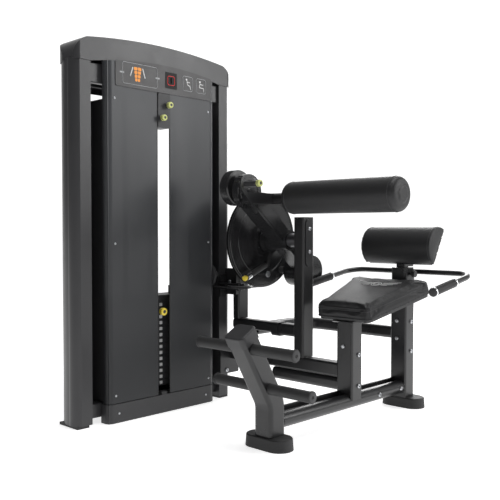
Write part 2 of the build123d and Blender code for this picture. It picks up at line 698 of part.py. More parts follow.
def roller_tube():
    """Axle tube of the roller, with the clamp that holds it to the arm's head."""
    x, z = ROLLER
    tube = rod_y(x, ROLLER_NEAR + 14, ARM_FRONT, z, ROLLER_TUBE_RADIUS)
    tube -= rod_y(x, ROLLER_NEAR, ARM_FRONT - 30, z, ROLLER_TUBE_RADIUS - 3)
    clamp = box(132, x, ARM_FRONT - 34, ARM_FRONT, z - 22, z + 20)
    collar = rod_y(x, ROLLER_FAR + 1, ROLLER_FAR + 11, z, ROLLER_TUBE_RADIUS + 6)
    return tube + fillet(clamp.edges().filter_by(Axis.Y).group_by(Axis.X)[0], 10) + collar


def roller_pad():
    """Padded roller that spins on its tube, with a closed near end."""
    x, z = ROLLER
    pad = rod_y(x, ROLLER_NEAR, ROLLER_FAR, z, ROLLER_RADIUS)
    pad = fillet(pad.edges().filter_by(GeomType.CIRCLE), 26)
    return pad - rod_y(x, ROLLER_NEAR + 12, ROLLER_FAR + 1, z, ROLLER_TUBE_RADIUS + 0.4)


def start_pin_place():
    """Axis of the start-position pin on the arm's head."""
    return HEAD[0] - 33, HEAD[1] + 27


def start_pin():
    """Pull pin that sets the arm's start position, with a round knob."""
    x, z = start_pin_place()
    shank = rod_y(x, ARM_FRONT - 76, ARM_FRONT + 26, z, 10)
    knob = rod_y(x, ARM_FRONT - 92, ARM_FRONT - 76, z, 13)
    return shank + fillet(knob.edges().filter_by(GeomType.CIRCLE), 3)


def start_guard():
    """Bent flat guard that reaches round the pin and over the roller's clamp."""
    x, z = start_pin_place()
    y = ARM_FRONT - 34
    with BuildSketch(side(y)) as strip:
        with BuildLine() as spine:
            curve = Spline((x - 44, z + 20), (x - 50, z - 8), (x - 26, z - 40))
            Line(curve @ 1, (x + 34, z - 112))
        trace(spine.line, line_width=15)
    guard = extrude(strip.sketch, amount=7)
    foot = rod_y(x - 44, y, ARM_FRONT, z + 16, 7)
    return guard + foot


def lever_frame():
    """Place and turn of the range lever: origin at its root, z along the lever."""
    root = Vector(398, -228, 606)
    tip = Vector(268, -228, 552)
    return Plane(origin=root, z_dir=tip - root)


def range_lever():
    """Range lever on the hub: clamp ring, grip rod and ferrule."""
    y0, y1 = -238, -214
    ring = rod_y(FRAME_X, y0, y1, AXIS_Z, HUB_RADIUS + 9) - rod_y(FRAME_X, y0, y1, AXIS_Z, HUB_RADIUS + 0.4)
    neck = extrude(side(y1) * make_hull([Pos(FRAME_X - 10, AXIS_Z - 56) * Circle(9).edge(),
                                         Pos(398, 606) * Circle(10).edge()]), amount=y1 - y0)
    neck -= rod_y(FRAME_X, y0 - 1, y1 + 1, AXIS_Z, HUB_RADIUS + 0.4)
    plane = lever_frame()
    grip = extrude(plane * Circle(10), amount=108)
    ferrule = extrude(plane.offset(108) * Circle(12.5), amount=24)
    bore = extrude(plane.offset(118) * Circle(6.5), amount=20)
    return ring + neck + grip + ferrule - bore


def lever_button():
    """Push button in the end of the range lever."""
    plane = lever_frame()
    stem = extrude(plane.offset(127) * Circle(6), amount=12)
    cap = extrude(plane.offset(139) * Circle(11), amount=13)
    return stem + fillet(cap.edges().filter_by(GeomType.CIRCLE).sort_by(Axis.X)[0], 4)


# Seat side -----------------------------------------------------------------------------------------------

def front_post():
    """Front post: upright at its foot, then leaning away from the seat, with holes for the foot rods."""
    route = [(FRONT_POST_X, SEAT_Y, FLOOR_FOOT[2]), (FRONT_POST_X, SEAT_Y, 157), (-190, SEAT_Y, 399)]
    path = FilletPolyline(*route, radius=90)
    tube = sweep(Pos(*route[0]) * tube_section(*FRONT_POST), path=path)
    for x, z in FOOT_RODS:
        tube -= rod_y(x, SEAT_Y - 60, SEAT_Y + 60, z, FOOT_ROD_RADIUS)
    return tube


def front_post_cap():
    """Moulded cap over the top of the front post."""
    lean = math.degrees(math.atan2(140, 242))
    place = Pos(-190, SEAT_Y, 399) * Rot(0, -lean, 0)
    cap = extrude(place * Pos(0, 0, -22) * RectangleRounded(FRONT_POST[0] + 8, FRONT_POST[1] + 8, 18), amount=42)
    cap = fillet(cap.edges().group_by(Axis.Z)[-1], 7)
    pocket = extrude(place * Pos(0, 0, -40) * RectangleRounded(*FRONT_POST), amount=40)
    return cap - pocket


def foot_rods():
    """Two foot rods with rubber sleeves and end caps, through the front post."""
    rods = []
    for x, z in FOOT_RODS:
        rod = rod_y(x, SEAT_Y - FOOT_ROD_HALF, SEAT_Y + FOOT_ROD_HALF, z, FOOT_ROD_RADIUS)
        for sign in (-1, 1):
            tip = SEAT_Y + sign * FOOT_ROD_HALF
            cap = rod_y(x, min(tip, tip - sign * 8), max(tip, tip - sign * 8), z, FOOT_ROD_RADIUS + 2)
            rod += fillet(cap.edges().filter_by(GeomType.CIRCLE), 2)
        rods.append(rod)
    return rods


def floor_feet():
    """Rubber feet under the front post and the rear seat post."""
    width, length, height = FLOOR_FOOT
    feet = []
    for x in (FRONT_POST_X - 2, REAR_SEAT_POST_X + 12):
        foot = extrude(Pos(x, SEAT_Y, 0) * Rot(0, 0, 90) * SlotOverall(length, width * 0.84), amount=height, taper=4)
        feet.append(fillet(foot.edges().group_by(Axis.Z)[-1], 5))
    return feet


def base_tube():
    """Round base tube and the rail beside it, between the front post and the rear seat post."""
    x0 = FRONT_POST_X + FRONT_POST[0] / 2
    x1 = REAR_SEAT_POST_X - POST_X / 2
    tube = rod_x(x0, x1, SEAT_Y - 6, BASE_TUBE_Z, BASE_TUBE_RADIUS)
    tube -= rod_x(x0, x1, SEAT_Y - 6, BASE_TUBE_Z, BASE_TUBE_RADIUS - TUBE_WALL)
    rail = box(x0, x1, SEAT_Y + 24, SEAT_Y + 34, 92, 122)
    return [tube, rail]


def seat_post_front():
    """Front seat post, cut round the base tube and closed by the seat bracket."""
    tube = post(FRONT_SEAT_POST_X, SEAT_Y, BASE_TUBE_Z + 6, 392, POST_X, POST_Y, POST_CORNER)
    tube -= rod_x(300, 520, SEAT_Y - 6, BASE_TUBE_Z, BASE_TUBE_RADIUS)
    return tube - box(300, 520, SEAT_Y + 24, SEAT_Y + 34, 92, 122)


def seat_post_rear():
    """Rear seat post from its foot up to the lumbar bracket."""
    return post(REAR_SEAT_POST_X, SEAT_Y, FLOOR_FOOT[2], 530, POST_X, POST_Y, POST_CORNER)


def seat_plane(depth):
    """Plane of the seat at a depth below its top face: x runs back along the seat from its front edge."""
    slope = math.radians(SEAT_SLOPE)
    normal = (-math.sin(slope), 0, math.cos(slope))
    origin = (SEAT_FRONT[0] - depth * normal[0], SEAT_Y, SEAT_FRONT[1] - depth * normal[2])
    return Plane(origin=origin, x_dir=(math.cos(slope), 0, math.sin(slope)), z_dir=normal)


def seat_outline(margin):
    """Seat outline, wider at the back."""
    half_front = SEAT_FRONT_WIDTH / 2 - margin
    half_rear = SEAT_REAR_WIDTH / 2 - margin
    with BuildSketch() as outline:
        with BuildLine():
            Polyline((margin, -half_front), (SEAT_LENGTH - margin, -half_rear), (SEAT_LENGTH - margin, half_rear),
                     (margin, half_front), close=True)
        make_face()
        fillet(outline.vertices(), radius=30)
    return outline.sketch


def seat_pad():
    """Seat cushion."""
    pad = extrude(seat_plane(SEAT_PAD_THICK) * seat_outline(0), amount=SEAT_PAD_THICK)
    return fillet(pad.edges().group_by(Axis.Z)[-1], 8)


def seat_bracket():
    """Board under the cushion, the saddle on the front post and the rail back to the rear post."""
    depth = SEAT_PAD_THICK + SEAT_BOARD_THICK
    board = extrude(seat_plane(depth) * seat_outline(8), amount=SEAT_BOARD_THICK)
    x = FRONT_SEAT_POST_X
    with BuildSketch(side(SEAT_Y + 50)) as saddle:
        with BuildLine():
            Polyline((x + 33, 392), (x - 33, 392))
            ThreePointArc((x - 33, 392), (x - 47, 397), (x - 55, 412))
            Polyline((x - 55, 412), (x + 60, 443), (x + 60, 420), (x + 33, 392))
        make_face()
    slope = math.tan(math.radians(SEAT_SLOPE))
    under = SEAT_FRONT[1] - depth / math.cos(math.radians(SEAT_SLOPE))
    saddle_body = extrude(saddle.sketch, amount=100)
    start = x + POST_X / 2
    stop = REAR_SEAT_POST_X - POST_X / 2
    with BuildSketch(side(SEAT_Y + 22)) as rail:
        with BuildLine():
            Polyline((start, under + (start - SEAT_FRONT[0]) * slope), (stop, under + (stop - SEAT_FRONT[0]) * slope),
                     (stop, under + (stop - SEAT_FRONT[0]) * slope - 40),
                     (start, under + (start - SEAT_FRONT[0]) * slope - 40), close=True)
        make_face()
    below = extrude(seat_plane(depth) * Pos(200, 0) * Rectangle(700, 500), amount=200)
    return board + ((saddle_body + extrude(rail.sketch, amount=44)) - below)


def lumbar_plane(along=0):
    """Frame of the lumbar pad: x along its flat back, y towards the user's back, z along -Y."""
    lean = math.radians(LUMBAR_LEAN)
    up = (math.sin(lean), 0, math.cos(lean))
    return Plane(origin=(LUMBAR_CENTRE[0], SEAT_Y + LUMBAR_HALF + along, LUMBAR_CENTRE[1]), x_dir=up,
                 z_dir=(0, -1, 0))


def lumbar_pad():
    """Half-round lumbar cushion with a flat leaning back."""
    half_round = Circle(LUMBAR_RADIUS) - Pos(0, -LUMBAR_RADIUS) * Rectangle(2 * LUMBAR_RADIUS, 2 * LUMBAR_RADIUS)
    pad = extrude(lumbar_plane() * half_round, amount=2 * LUMBAR_HALF)
    return fillet(pad.edges().filter_by(GeomType.CIRCLE), 4)


def lumbar_bracket():
    """Socket on the rear post and the clamp of the handle bar."""
    x = REAR_SEAT_POST_X
    socket = extrude(Pos(x, SEAT_Y, 530) * RectangleRounded(66, SOCKET_WIDTH, 12), amount=62)
    socket -= box(x - 17, x + 12.6, SEAT_Y - 20.4, SEAT_Y + 20.4, 534, 600)
    return socket - rod_y(x - 2, SEAT_Y - SOCKET_WIDTH, SEAT_Y - 10, KNOB_Z, 6.6)


def lumbar_stem():
    """Stem and back board that carry the lumbar pad and slide in the socket."""
    stem = box(REAR_SEAT_POST_X - 16.4, REAR_SEAT_POST_X + 12, SEAT_Y - 20, SEAT_Y + 20, 536, 640)
    board_plane = lumbar_plane(-20)
    board = extrude(board_plane * Pos(0, -6) * Rectangle(2 * LUMBAR_RADIUS - 12, 12), amount=2 * LUMBAR_HALF - 40)
    arm = box(REAR_SEAT_POST_X - 16.4, REAR_SEAT_POST_X + 52, SEAT_Y - 20, SEAT_Y + 20, 596, 690)
    back = extrude(board_plane * Pos(0, 100) * Rectangle(400, 200), amount=2 * LUMBAR_HALF)
    x = REAR_SEAT_POST_X - 2
    keyway = box(x - 6.6, x + 6.6, SEAT_Y - 30, SEAT_Y - 8, 520, KNOB_Z + 7)
    return (stem + arm - back) + board - keyway


def lumbar_knob():
    """Pull knob that locks the lumbar stem."""
    x = REAR_SEAT_POST_X - 2
    face = SEAT_Y - SOCKET_WIDTH / 2
    shank = rod_y(x, face - 10, SEAT_Y - 10, KNOB_Z, 6)
    knob = rod_y(x, face - 28, face - 10, KNOB_Z, 14)
    return shank + fillet(knob.edges().filter_by(GeomType.CIRCLE), 4)


def handle_route():
    """Centre line of the handle bar, from one grip's front end to the other's."""
    run = (HANDLE_REAR[1] - HANDLE_FRONT[1]) / (HANDLE_REAR[0] - HANDLE_FRONT[0])
    cross_z = HANDLE_FRONT[1] + (HANDLE_CROSS_X + 62 - HANDLE_FRONT[0]) * run
    near = SEAT_Y - HANDLE_HALF
    far = SEAT_Y + HANDLE_HALF
    x = HANDLE_CROSS_X + 62
    return [(HANDLE_FRONT[0], near, HANDLE_FRONT[1]), (x, near, cross_z), (x, far, cross_z),
            (HANDLE_FRONT[0], far, HANDLE_FRONT[1])]


def handle_bar():
    """U-shaped handle bar behind the lumbar pad, with the strut that welds it to the rear post."""
    route = handle_route()
    path = FilletPolyline(*route, radius=75)
    first = Vector(*route[1]) - Vector(*route[0])
    bar = sweep(Plane(origin=route[0], z_dir=first) * Circle(HANDLE_RADIUS), path=path)
    x, _, z = route[1]
    post_face = REAR_SEAT_POST_X + POST_X / 2
    strut = box(post_face, x, SEAT_Y - 18, SEAT_Y + 18, 488, 512)
    riser = box(x - 9, x + 9, SEAT_Y - 18, SEAT_Y + 18, 488, z)
    return bar + strut + riser


def grips():
    """Rubber grips with end rings on both arms of the handle bar."""
    route = handle_route()
    pieces = []
    for start, toward in ((route[0], route[1]), (route[3], route[2])):
        direction = (Vector(*toward) - Vector(*start)).normalized()
        plane = Plane(origin=Vector(*start) - direction * 4, z_dir=direction)
        grip = extrude(plane * Circle(GRIP_RADIUS), amount=168)
        for offset_along, radius in ((6, GRIP_RADIUS + 1.5), (160, GRIP_RADIUS + 1)):
            grip += extrude(plane.offset(offset_along) * Circle(radius), amount=7)
        pieces.append(grip - extrude(plane.offset(4) * Circle(HANDLE_RADIUS), amount=200))
    return pieces


def frame_bolts():
    """Bolt heads of the seat posts, pivot post, base tube and tower plates."""
    face = SEAT_Y - POST_Y / 2
    pieces = [bolt_y(FRONT_SEAT_POST_X + 8, face, z) for z in (267, 145)]
    pieces += [bolt_y(REAR_SEAT_POST_X + 8, face, z) for z in (362, 237)]
    pieces += [bolt_y(FRAME_X, PIVOT_POST_Y - 30.5, z, 8, 5) for z in (756, 662)]
    pieces += [bolt_x(FRONT_SEAT_POST_X - POST_X / 2, SEAT_Y + 4, z) for z in (300,)]
    pieces += [bolt_x(REAR_SEAT_POST_X - POST_X / 2, SEAT_Y + 4, z) for z in (366, 292)]
    pieces += [bolt_x(FRAME_X - 48, -28, 521, 9)]
    pieces += [bolt_y(372, -8, 124, 9)]
    tube_face = SEAT_Y - 6 - BASE_TUBE_RADIUS
    tube = rod_x(500, 800, SEAT_Y - 6, BASE_TUBE_Z, BASE_TUBE_RADIUS)
    pieces += [bolt_y(x, tube_face + 3, BASE_TUBE_Z, 9, 8) - tube for x in (572, 731)]
    return pieces


def export_node(name, shape):
    """Write one node, moved to the machine's own origin."""
    solids = shape if isinstance(shape, list) else [shape]
    flat = [solid for piece in solids for solid in piece.solids()]
    moved = [Pos(*SHIFT) * solid for solid in flat]
    export_step(moved[0] if len(moved) == 1 else Compound(moved), f"parts/{name}.step")


def all_nodes():
    """Every node of the machine with its solid or solids."""
    return {
        "left_upright": upright(-1),
        "right_upright": upright(1),
        "top_cap": top_cap(),
        "tower_crossbeams": [top_crossbeam(), front_crossbeam(), base_beam()],
        "base_cover": base_cover(),
        "shroud_left": shroud_left(),
        "shroud_right": shroud_right(),
        "rear_cover": rear_cover(),
        "header_panel": header_panel(),
        "guide_rods": guide_rods(),
        "resting_plates": resting_plates(),
        "lifted_plates": lifted_plates(),
        "head_plate": head_plate(),
        "selector_stem": selector_stem(),
        "selector_pin": selector_pin(),
        "stack_bumpers": stack_bumpers(),
        "addon_housing": addon_housing(),
        "addon_knob_upper": addon_knob(addon_places()[0]),
        "addon_knob_lower": addon_knob(addon_places()[1]),
        "tower_feet": tower_feet(),
        "front_pulley": front_pulley(),
        "turn_pulley": turn_pulley(),
        "top_pulley_outer": top_pulley(0),
        "top_pulley_inner": top_pulley(1),
        "pulley_studs": pulley_studs(),
        "pulley_bracket": pulley_bracket(),
        "lift_cable": lift_cable(),
        "lower_beams": [lower_beam(), brace_beam()],
        "mid_beam": mid_beam(),
        "link_tube": link_tube(),
        "pivot_post": pivot_post(),
        "far_post": far_post(),
        "pivot_axle": pivot_axle(),
        "bolt_plates": bolt_plates(),
        "swing_arm": swing_arm(),
        "cam_disc": cam_disc(),
        "cam_cable": cam_cable(),
        "counterweight": counterweight(),
        "roller_tube": roller_tube(),
        "roller_pad": roller_pad(),
        "start_pin": start_pin(),
        "start_guard": start_guard(),
        "range_lever": range_lever(),
        "lever_button": lever_button(),
        "front_post": front_post(),
        "front_post_cap": front_post_cap(),
        "foot_rods": foot_rods(),
        "floor_feet": floor_feet(),
        "base_tube": base_tube(),
        "seat_post_front": seat_post_front(),
        "seat_post_rear": seat_post_rear(),
        "seat_bracket": seat_bracket(),
        "seat_pad": seat_pad(),
        "lumbar_bracket": lumbar_bracket(),
        "lumbar_stem": lumbar_stem(),
        "lumbar_pad": lumbar_pad(),
        "lumbar_knob": lumbar_knob(),
        "handle_bar": handle_bar(),
        "grips": grips(),
        "frame_bolts": frame_bolts(),
    }


os.makedirs("parts", exist_ok=True)
for node_name, node_shape in all_nodes().items():
    export_node(node_name, node_shape)
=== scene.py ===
import json
import logging
import math
from abc import ABC, abstractmethod
from dataclasses import dataclass, field
from enum import Enum
from typing import Iterable, Optional, Union

import bmesh
import bpy
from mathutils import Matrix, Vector, noise
from mathutils.bvhtree import BVHTree


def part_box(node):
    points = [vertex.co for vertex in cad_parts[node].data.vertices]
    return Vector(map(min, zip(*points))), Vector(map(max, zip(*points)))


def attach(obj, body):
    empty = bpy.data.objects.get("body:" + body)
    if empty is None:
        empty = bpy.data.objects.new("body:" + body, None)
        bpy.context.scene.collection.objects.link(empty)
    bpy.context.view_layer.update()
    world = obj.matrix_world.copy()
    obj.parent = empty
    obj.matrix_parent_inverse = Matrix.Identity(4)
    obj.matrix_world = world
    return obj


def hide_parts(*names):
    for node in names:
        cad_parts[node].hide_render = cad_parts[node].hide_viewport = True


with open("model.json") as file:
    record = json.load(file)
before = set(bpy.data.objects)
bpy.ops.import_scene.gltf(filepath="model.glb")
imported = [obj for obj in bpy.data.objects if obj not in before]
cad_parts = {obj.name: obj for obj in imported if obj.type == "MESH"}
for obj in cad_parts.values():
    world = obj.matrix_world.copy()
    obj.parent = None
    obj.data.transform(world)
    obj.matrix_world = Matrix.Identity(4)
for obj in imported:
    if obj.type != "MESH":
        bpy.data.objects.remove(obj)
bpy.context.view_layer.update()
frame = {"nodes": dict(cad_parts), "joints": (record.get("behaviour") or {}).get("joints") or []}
LOG = logging.getLogger("crunch_machine")
MM = 0.001
Colour = tuple[float, float, float]
Number = Union[float, "Socket"]


# Shader graph ---------------------------------------------------------------------------------------------


class Socket:
    """An output socket whose arithmetic adds Math nodes."""

    def __init__(self, graph: "Graph", link: bpy.types.NodeSocket) -> None:
        """Keeps the graph and the output.

        Args:
            graph: graph that new nodes go into.
            link: output socket to wrap.
        """
        self.graph = graph
        self.link = link

    def _math(self, operation: str, *values: Number) -> "Socket":
        """Adds one Math node.

        Args:
            operation: the node's operation.
            values: its inputs in order.

        Returns:
            The node's value.
        """
        return self.graph.add("ShaderNodeMath", {"operation": operation}, dict(enumerate(values)))

    def __add__(self, other: Number) -> "Socket":
        """Sum."""
        return self._math("ADD", self, other)

    __radd__ = __add__

    def __sub__(self, other: Number) -> "Socket":
        """Difference."""
        return self._math("SUBTRACT", self, other)

    def __rsub__(self, other: Number) -> "Socket":
        """Reflected difference."""
        return self._math("SUBTRACT", other, self)

    def __mul__(self, other: Number) -> "Socket":
        """Product."""
        return self._math("MULTIPLY", self, other)

    __rmul__ = __mul__

    def __truediv__(self, other: Number) -> "Socket":
        """Quotient."""
        return self._math("DIVIDE", self, other)

    def __pow__(self, other: Number) -> "Socket":
        """Power."""
        return self._math("POWER", self, other)

    def clamped(self) -> "Socket":
        """Value kept between 0 and 1."""
        return self.graph.add("ShaderNodeClamp", {}, {"Value": self})


class Graph:
    """The node graph of one material or world."""

    def __init__(self, owner: Union[bpy.types.Material, bpy.types.World]) -> None:
        """Starts an empty graph.

        Args:
            owner: material or world that holds the graph.
        """
        owner.use_nodes = True
        self.tree = owner.node_tree
        self.tree.nodes.clear()

    def add(self, kind: str, settings: Optional[dict] = None, inputs: Optional[dict] = None,
            output: Union[int, str] = 0) -> Socket:
        """Adds one node.

        Args:
            kind: node type.
            settings: attributes that are set first; "stops" fills a colour ramp.
            inputs: socket name or index to a value or a Socket.
            output: which output to return.

        Returns:
            The chosen output.
        """
        node = self.tree.nodes.new(kind)
        for name, value in (settings or {}).items():
            if name == "stops":
                self._fill_ramp(node.color_ramp, value)
            else:
                setattr(node, name, value)
        for name, value in (inputs or {}).items():
            if isinstance(value, Socket):
                self.tree.links.new(value.link, node.inputs[name])
            else:
                node.inputs[name].default_value = value
        return Socket(self, node.outputs[output]) if len(node.outputs) else Socket(self, None)

    @staticmethod
    def _fill_ramp(ramp: bpy.types.ColorRamp, stops: Iterable[tuple[float, Colour]]) -> None:
        """Sets a ramp's stops.

        Args:
            ramp: ramp to fill.
            stops: positions with colours, in order.
        """
        stops = list(stops)
        while len(ramp.elements) < len(stops):
            ramp.elements.new(0.5)
        for element, (position, colour) in zip(ramp.elements, stops):
            element.position = position
            element.color = (*colour, 1.0)

    def place(self) -> Socket:
        """Object coordinates, in metres."""
        return self.add("ShaderNodeTexCoord", output="Object")

    def stretched(self, scale: Colour) -> Socket:
        """Object coordinates scaled along each axis.

        Args:
            scale: factor along each axis.

        Returns:
            The scaled coordinates.
        """
        return self.add("ShaderNodeVectorMath", {"operation": "MULTIPLY"}, {0: self.place(), 1: scale})

    def noise(self, scale: float, detail: float = 3.0, rough: float = 0.55,
              vector: Optional[Socket] = None) -> Socket:
        """Noise from 0 to 1.

        Args:
            scale: cells per metre.
            detail: octaves.
            rough: how much the fine octaves count.
            vector: coordinates, or object coordinates if left out.

        Returns:
            The noise value.
        """
        return self.add("ShaderNodeTexNoise", {}, {"Vector": vector or self.place(), "Scale": scale,
                                                   "Detail": detail, "Roughness": rough})

    def cells(self, scale: float, feature: str = "F1", vector: Optional[Socket] = None) -> Socket:
        """Distance field of scattered cells.

        Args:
            scale: cells per metre.
            feature: which distance.
            vector: coordinates, or object coordinates if left out.

        Returns:
            The distance.
        """
        return self.add("ShaderNodeTexVoronoi", {"feature": feature},
                        {"Vector": vector or self.place(), "Scale": scale})

    def mix(self, factor: Number, low: Union[Colour, Socket], high: Union[Colour, Socket]) -> Socket:
        """Colour between two colours.

        Args:
            factor: 0 for low and 1 for high.
            low: first colour.
            high: second colour.

        Returns:
            The mixed colour.
        """
        ends = {index: end if isinstance(end, Socket) else (*end, 1.0)
                for index, end in ((6, low), (7, high))}
        return self.add("ShaderNodeMix", {"data_type": "RGBA"}, {0: factor, **ends}, 2)

    def bump(self, height: Socket, distance: float, strength: float = 1.0,
             normal: Optional[Socket] = None) -> Socket:
        """Bumped normal.

        Args:
            height: height from 0 to 1.
            distance: height in metres.
            strength: how strongly it shows.
            normal: normal to build on.

        Returns:
            The normal.
        """
        inputs = {"Height": height, "Distance": distance, "Strength": strength}
        if normal:
            inputs["Normal"] = normal
        return self.add("ShaderNodeBump", {}, inputs)

    def surface(self, inputs: dict) -> None:
        """Ends the graph with a Principled shader.

        Args:
            inputs: the shader's sockets.
        """
        shader = self.add("ShaderNodeBsdfPrincipled", {}, inputs)
        self.add("ShaderNodeOutputMaterial", {}, {"Surface": shader})


# Finishes -------------------------------------------------------------------------------------------------


@dataclass(frozen=True)
class Finish(ABC):
    """One named finish, made into a material once."""

    name: str
    colour: Colour

    @abstractmethod
    def inputs(self, graph: Graph) -> dict:
        """Sockets of the Principled shader."""

    def material(self) -> bpy.types.Material:
        """Material of this finish, made on first use."""
        made = bpy.data.materials.get("finish_" + self.name)
        if made is None:
            made = bpy.data.materials.new("finish_" + self.name)
            graph = Graph(made)
            graph.surface(self.inputs(graph))
        return made

    def dress(self, thing: bpy.types.Object) -> bpy.types.Object:
        """Puts the material on every slot of an object.

        Args:
            thing: object to dress.

        Returns:
            The same object.
        """
        thing.data.materials.clear()
        thing.data.materials.append(self.material())
        return thing

    def tinted(self, graph: Graph, scale: float, amount: float) -> Socket:
        """The colour with soft patches of lighter and darker tone.

        Args:
            graph: graph to build in.
            scale: patches per metre.
            amount: how far the tone moves.

        Returns:
            The varied colour.
        """
        low = tuple(c * (1 - amount) for c in self.colour)
        high = tuple(min(1.0, c * (1 + amount)) for c in self.colour)
        return graph.mix(graph.noise(scale, 4.0), low, high)


@dataclass(frozen=True)
class PowderCoat(Finish):
    """Baked powder coat: fine orange peel, faint handling marks, a little dust on top faces."""

    roughness: float = 0.36
    peel: float = 0.00006

    def inputs(self, graph: Graph) -> dict:
        """Sockets of the coat."""
        normal = graph.add("ShaderNodeNewGeometry", output="Normal")
        up = graph.add("ShaderNodeSeparateXYZ", {}, {0: normal}, "Z")
        dust = (up * graph.noise(38.0, 5.0) * 0.12).clamped()
        marks = graph.noise(9.0, 6.0, 0.7)
        fine = graph.noise(1400.0, 2.0)
        colour = graph.mix(dust, self.tinted(graph, 14.0, 0.12), (0.1, 0.1, 0.105))
        rough = (self.roughness + 0.16 * (marks - 0.5) + dust * 0.3).clamped()
        return {"Base Color": colour, "Roughness": rough,
                "Normal": graph.bump(fine, self.peel), "Specular IOR Level": 0.55}


@dataclass(frozen=True)
class SmokedSheet(Finish):
    """Smoked polycarbonate: glossy, a little see-through, with wipe marks and a painted reflection that
    lightens the colour towards the top.
    """

    alpha: float = 0.93

    def inputs(self, graph: Graph) -> dict:
        """Sockets of the sheet."""
        wipes = graph.noise(5.0, 5.0, 0.6, graph.stretched((1.0, 1.0, 0.25)))
        wave = graph.noise(2.2, 1.0)
        # painted reflection: the base colour lightens with height above 0.1 m, up to 2.3 times the sheet's
        # own tint
        height = graph.add("ShaderNodeSeparateXYZ", {}, {0: graph.place()}, "Z")
        lift = ((height - 0.1) * 0.75).clamped()
        colour = graph.mix(lift, self.colour, tuple(c * 2.3 for c in self.colour))
        return {"Base Color": colour, "Roughness": 0.3 + 0.16 * wipes, "Normal": graph.bump(wave, 0.0006),
                "Alpha": self.alpha, "Specular IOR Level": 0.4}


@dataclass(frozen=True)
class Leather(Finish):
    """Upholstery vinyl: pebbled grain, soft folds and a worn sheen."""

    grain: float = 620.0

    def inputs(self, graph: Graph) -> dict:
        """Sockets of the vinyl."""
        warped = graph.add("ShaderNodeMix", {"data_type": "VECTOR"},
                           {0: 0.004, 4: graph.place(), 5: graph.add("ShaderNodeTexNoise", {}, {
                               "Vector": graph.place(), "Scale": 160.0}, "Color")}, 1)
        pebble = graph.cells(self.grain, "SMOOTH_F1", warped)
        crease = graph.cells(self.grain * 0.55, "DISTANCE_TO_EDGE", warped)
        worn = graph.noise(7.0, 5.0, 0.6)
        height = (pebble * 0.6 + (crease * 6.0).clamped() * 0.5).clamped()
        soft = graph.bump(graph.noise(22.0, 3.0), 0.0012, 0.6)
        return {"Base Color": self.tinted(graph, 11.0, 0.2), "Roughness": 0.38 + 0.16 * worn + 0.06 * pebble,
                "Normal": graph.bump(height, 0.00022, 0.8, soft), "Specular IOR Level": 0.5}


@dataclass(frozen=True)
class Rubber(Finish):
    """Matt rubber with a fine tooth and pale scuffs."""

    roughness: float = 0.62

    def inputs(self, graph: Graph) -> dict:
        """Sockets of the rubber."""
        scuff = ((graph.noise(60.0, 6.0, 0.75) - 0.62) * 5.0).clamped()
        fine = graph.noise(1100.0, 3.0)
        return {"Base Color": graph.mix(scuff * 0.35, self.tinted(graph, 20.0, 0.2), (0.1, 0.1, 0.1)),
                "Roughness": self.roughness + 0.15 * scuff, "Normal": graph.bump(fine, 0.0001)}


@dataclass(frozen=True)
class Moulded(Finish):
    """Injection-moulded plastic with spark-eroded grain."""

    roughness: float = 0.42

    def inputs(self, graph: Graph) -> dict:
        """Sockets of the plastic."""
        fine = graph.cells(1500.0)
        return {"Base Color": self.tinted(graph, 16.0, 0.1),
                "Roughness": self.roughness + 0.1 * graph.noise(30.0),
                "Normal": graph.bump(fine, 0.00005), "Specular IOR Level": 0.5}


@dataclass(frozen=True)
class Metal(Finish):
    """Bare or plated metal with fine lines along one axis."""

    roughness: float = 0.25
    lines: Colour = (900.0, 900.0, 20.0)

    def inputs(self, graph: Graph) -> dict:
        """Sockets of the metal."""
        line = graph.noise(1.0, 4.0, 0.6, graph.stretched(self.lines))
        smear = graph.noise(12.0, 4.0)
        return {"Base Color": self.tinted(graph, 9.0, 0.08), "Metallic": 1.0,
                "Roughness": (self.roughness + 0.1 * (line - 0.5) + 0.12 * (smear - 0.5)).clamped(),
                "Normal": graph.bump(line, 0.00003)}


@dataclass(frozen=True)
class CastPlate(Finish):
    """Painted cast iron with a sandy skin."""

    def inputs(self, graph: Graph) -> dict:
        """Sockets of the iron."""
        sand = graph.noise(420.0, 5.0, 0.7)
        return {"Base Color": self.tinted(graph, 25.0, 0.25), "Roughness": 0.45 + 0.2 * sand,
                "Normal": graph.bump(sand, 0.0003)}


@dataclass(frozen=True)
class CableSheath(Finish):
    """Nylon-coated wire rope: the strands show as slanted ribs."""

    def inputs(self, graph: Graph) -> dict:
        """Sockets of the sheath."""
        wave = graph.add("ShaderNodeTexWave", {"bands_direction": "DIAGONAL"},
                         {"Vector": graph.place(), "Scale": 160.0}, "Fac")
        return {"Base Color": self.tinted(graph, 30.0, 0.2), "Roughness": 0.3 + 0.1 * wave,
                "Normal": graph.bump(wave, 0.0002)}


@dataclass(frozen=True)
class PrintedInk(Finish):
    """Screen-printed ink with a slight grain."""

    roughness: float = 0.4

    def inputs(self, graph: Graph) -> dict:
        """Sockets of the ink."""
        grain = graph.noise(800.0, 2.0)
        return {"Base Color": self.tinted(graph, 60.0, 0.06), "Roughness": self.roughness + 0.1 * grain,
                "Normal": graph.bump(grain, 0.00002)}


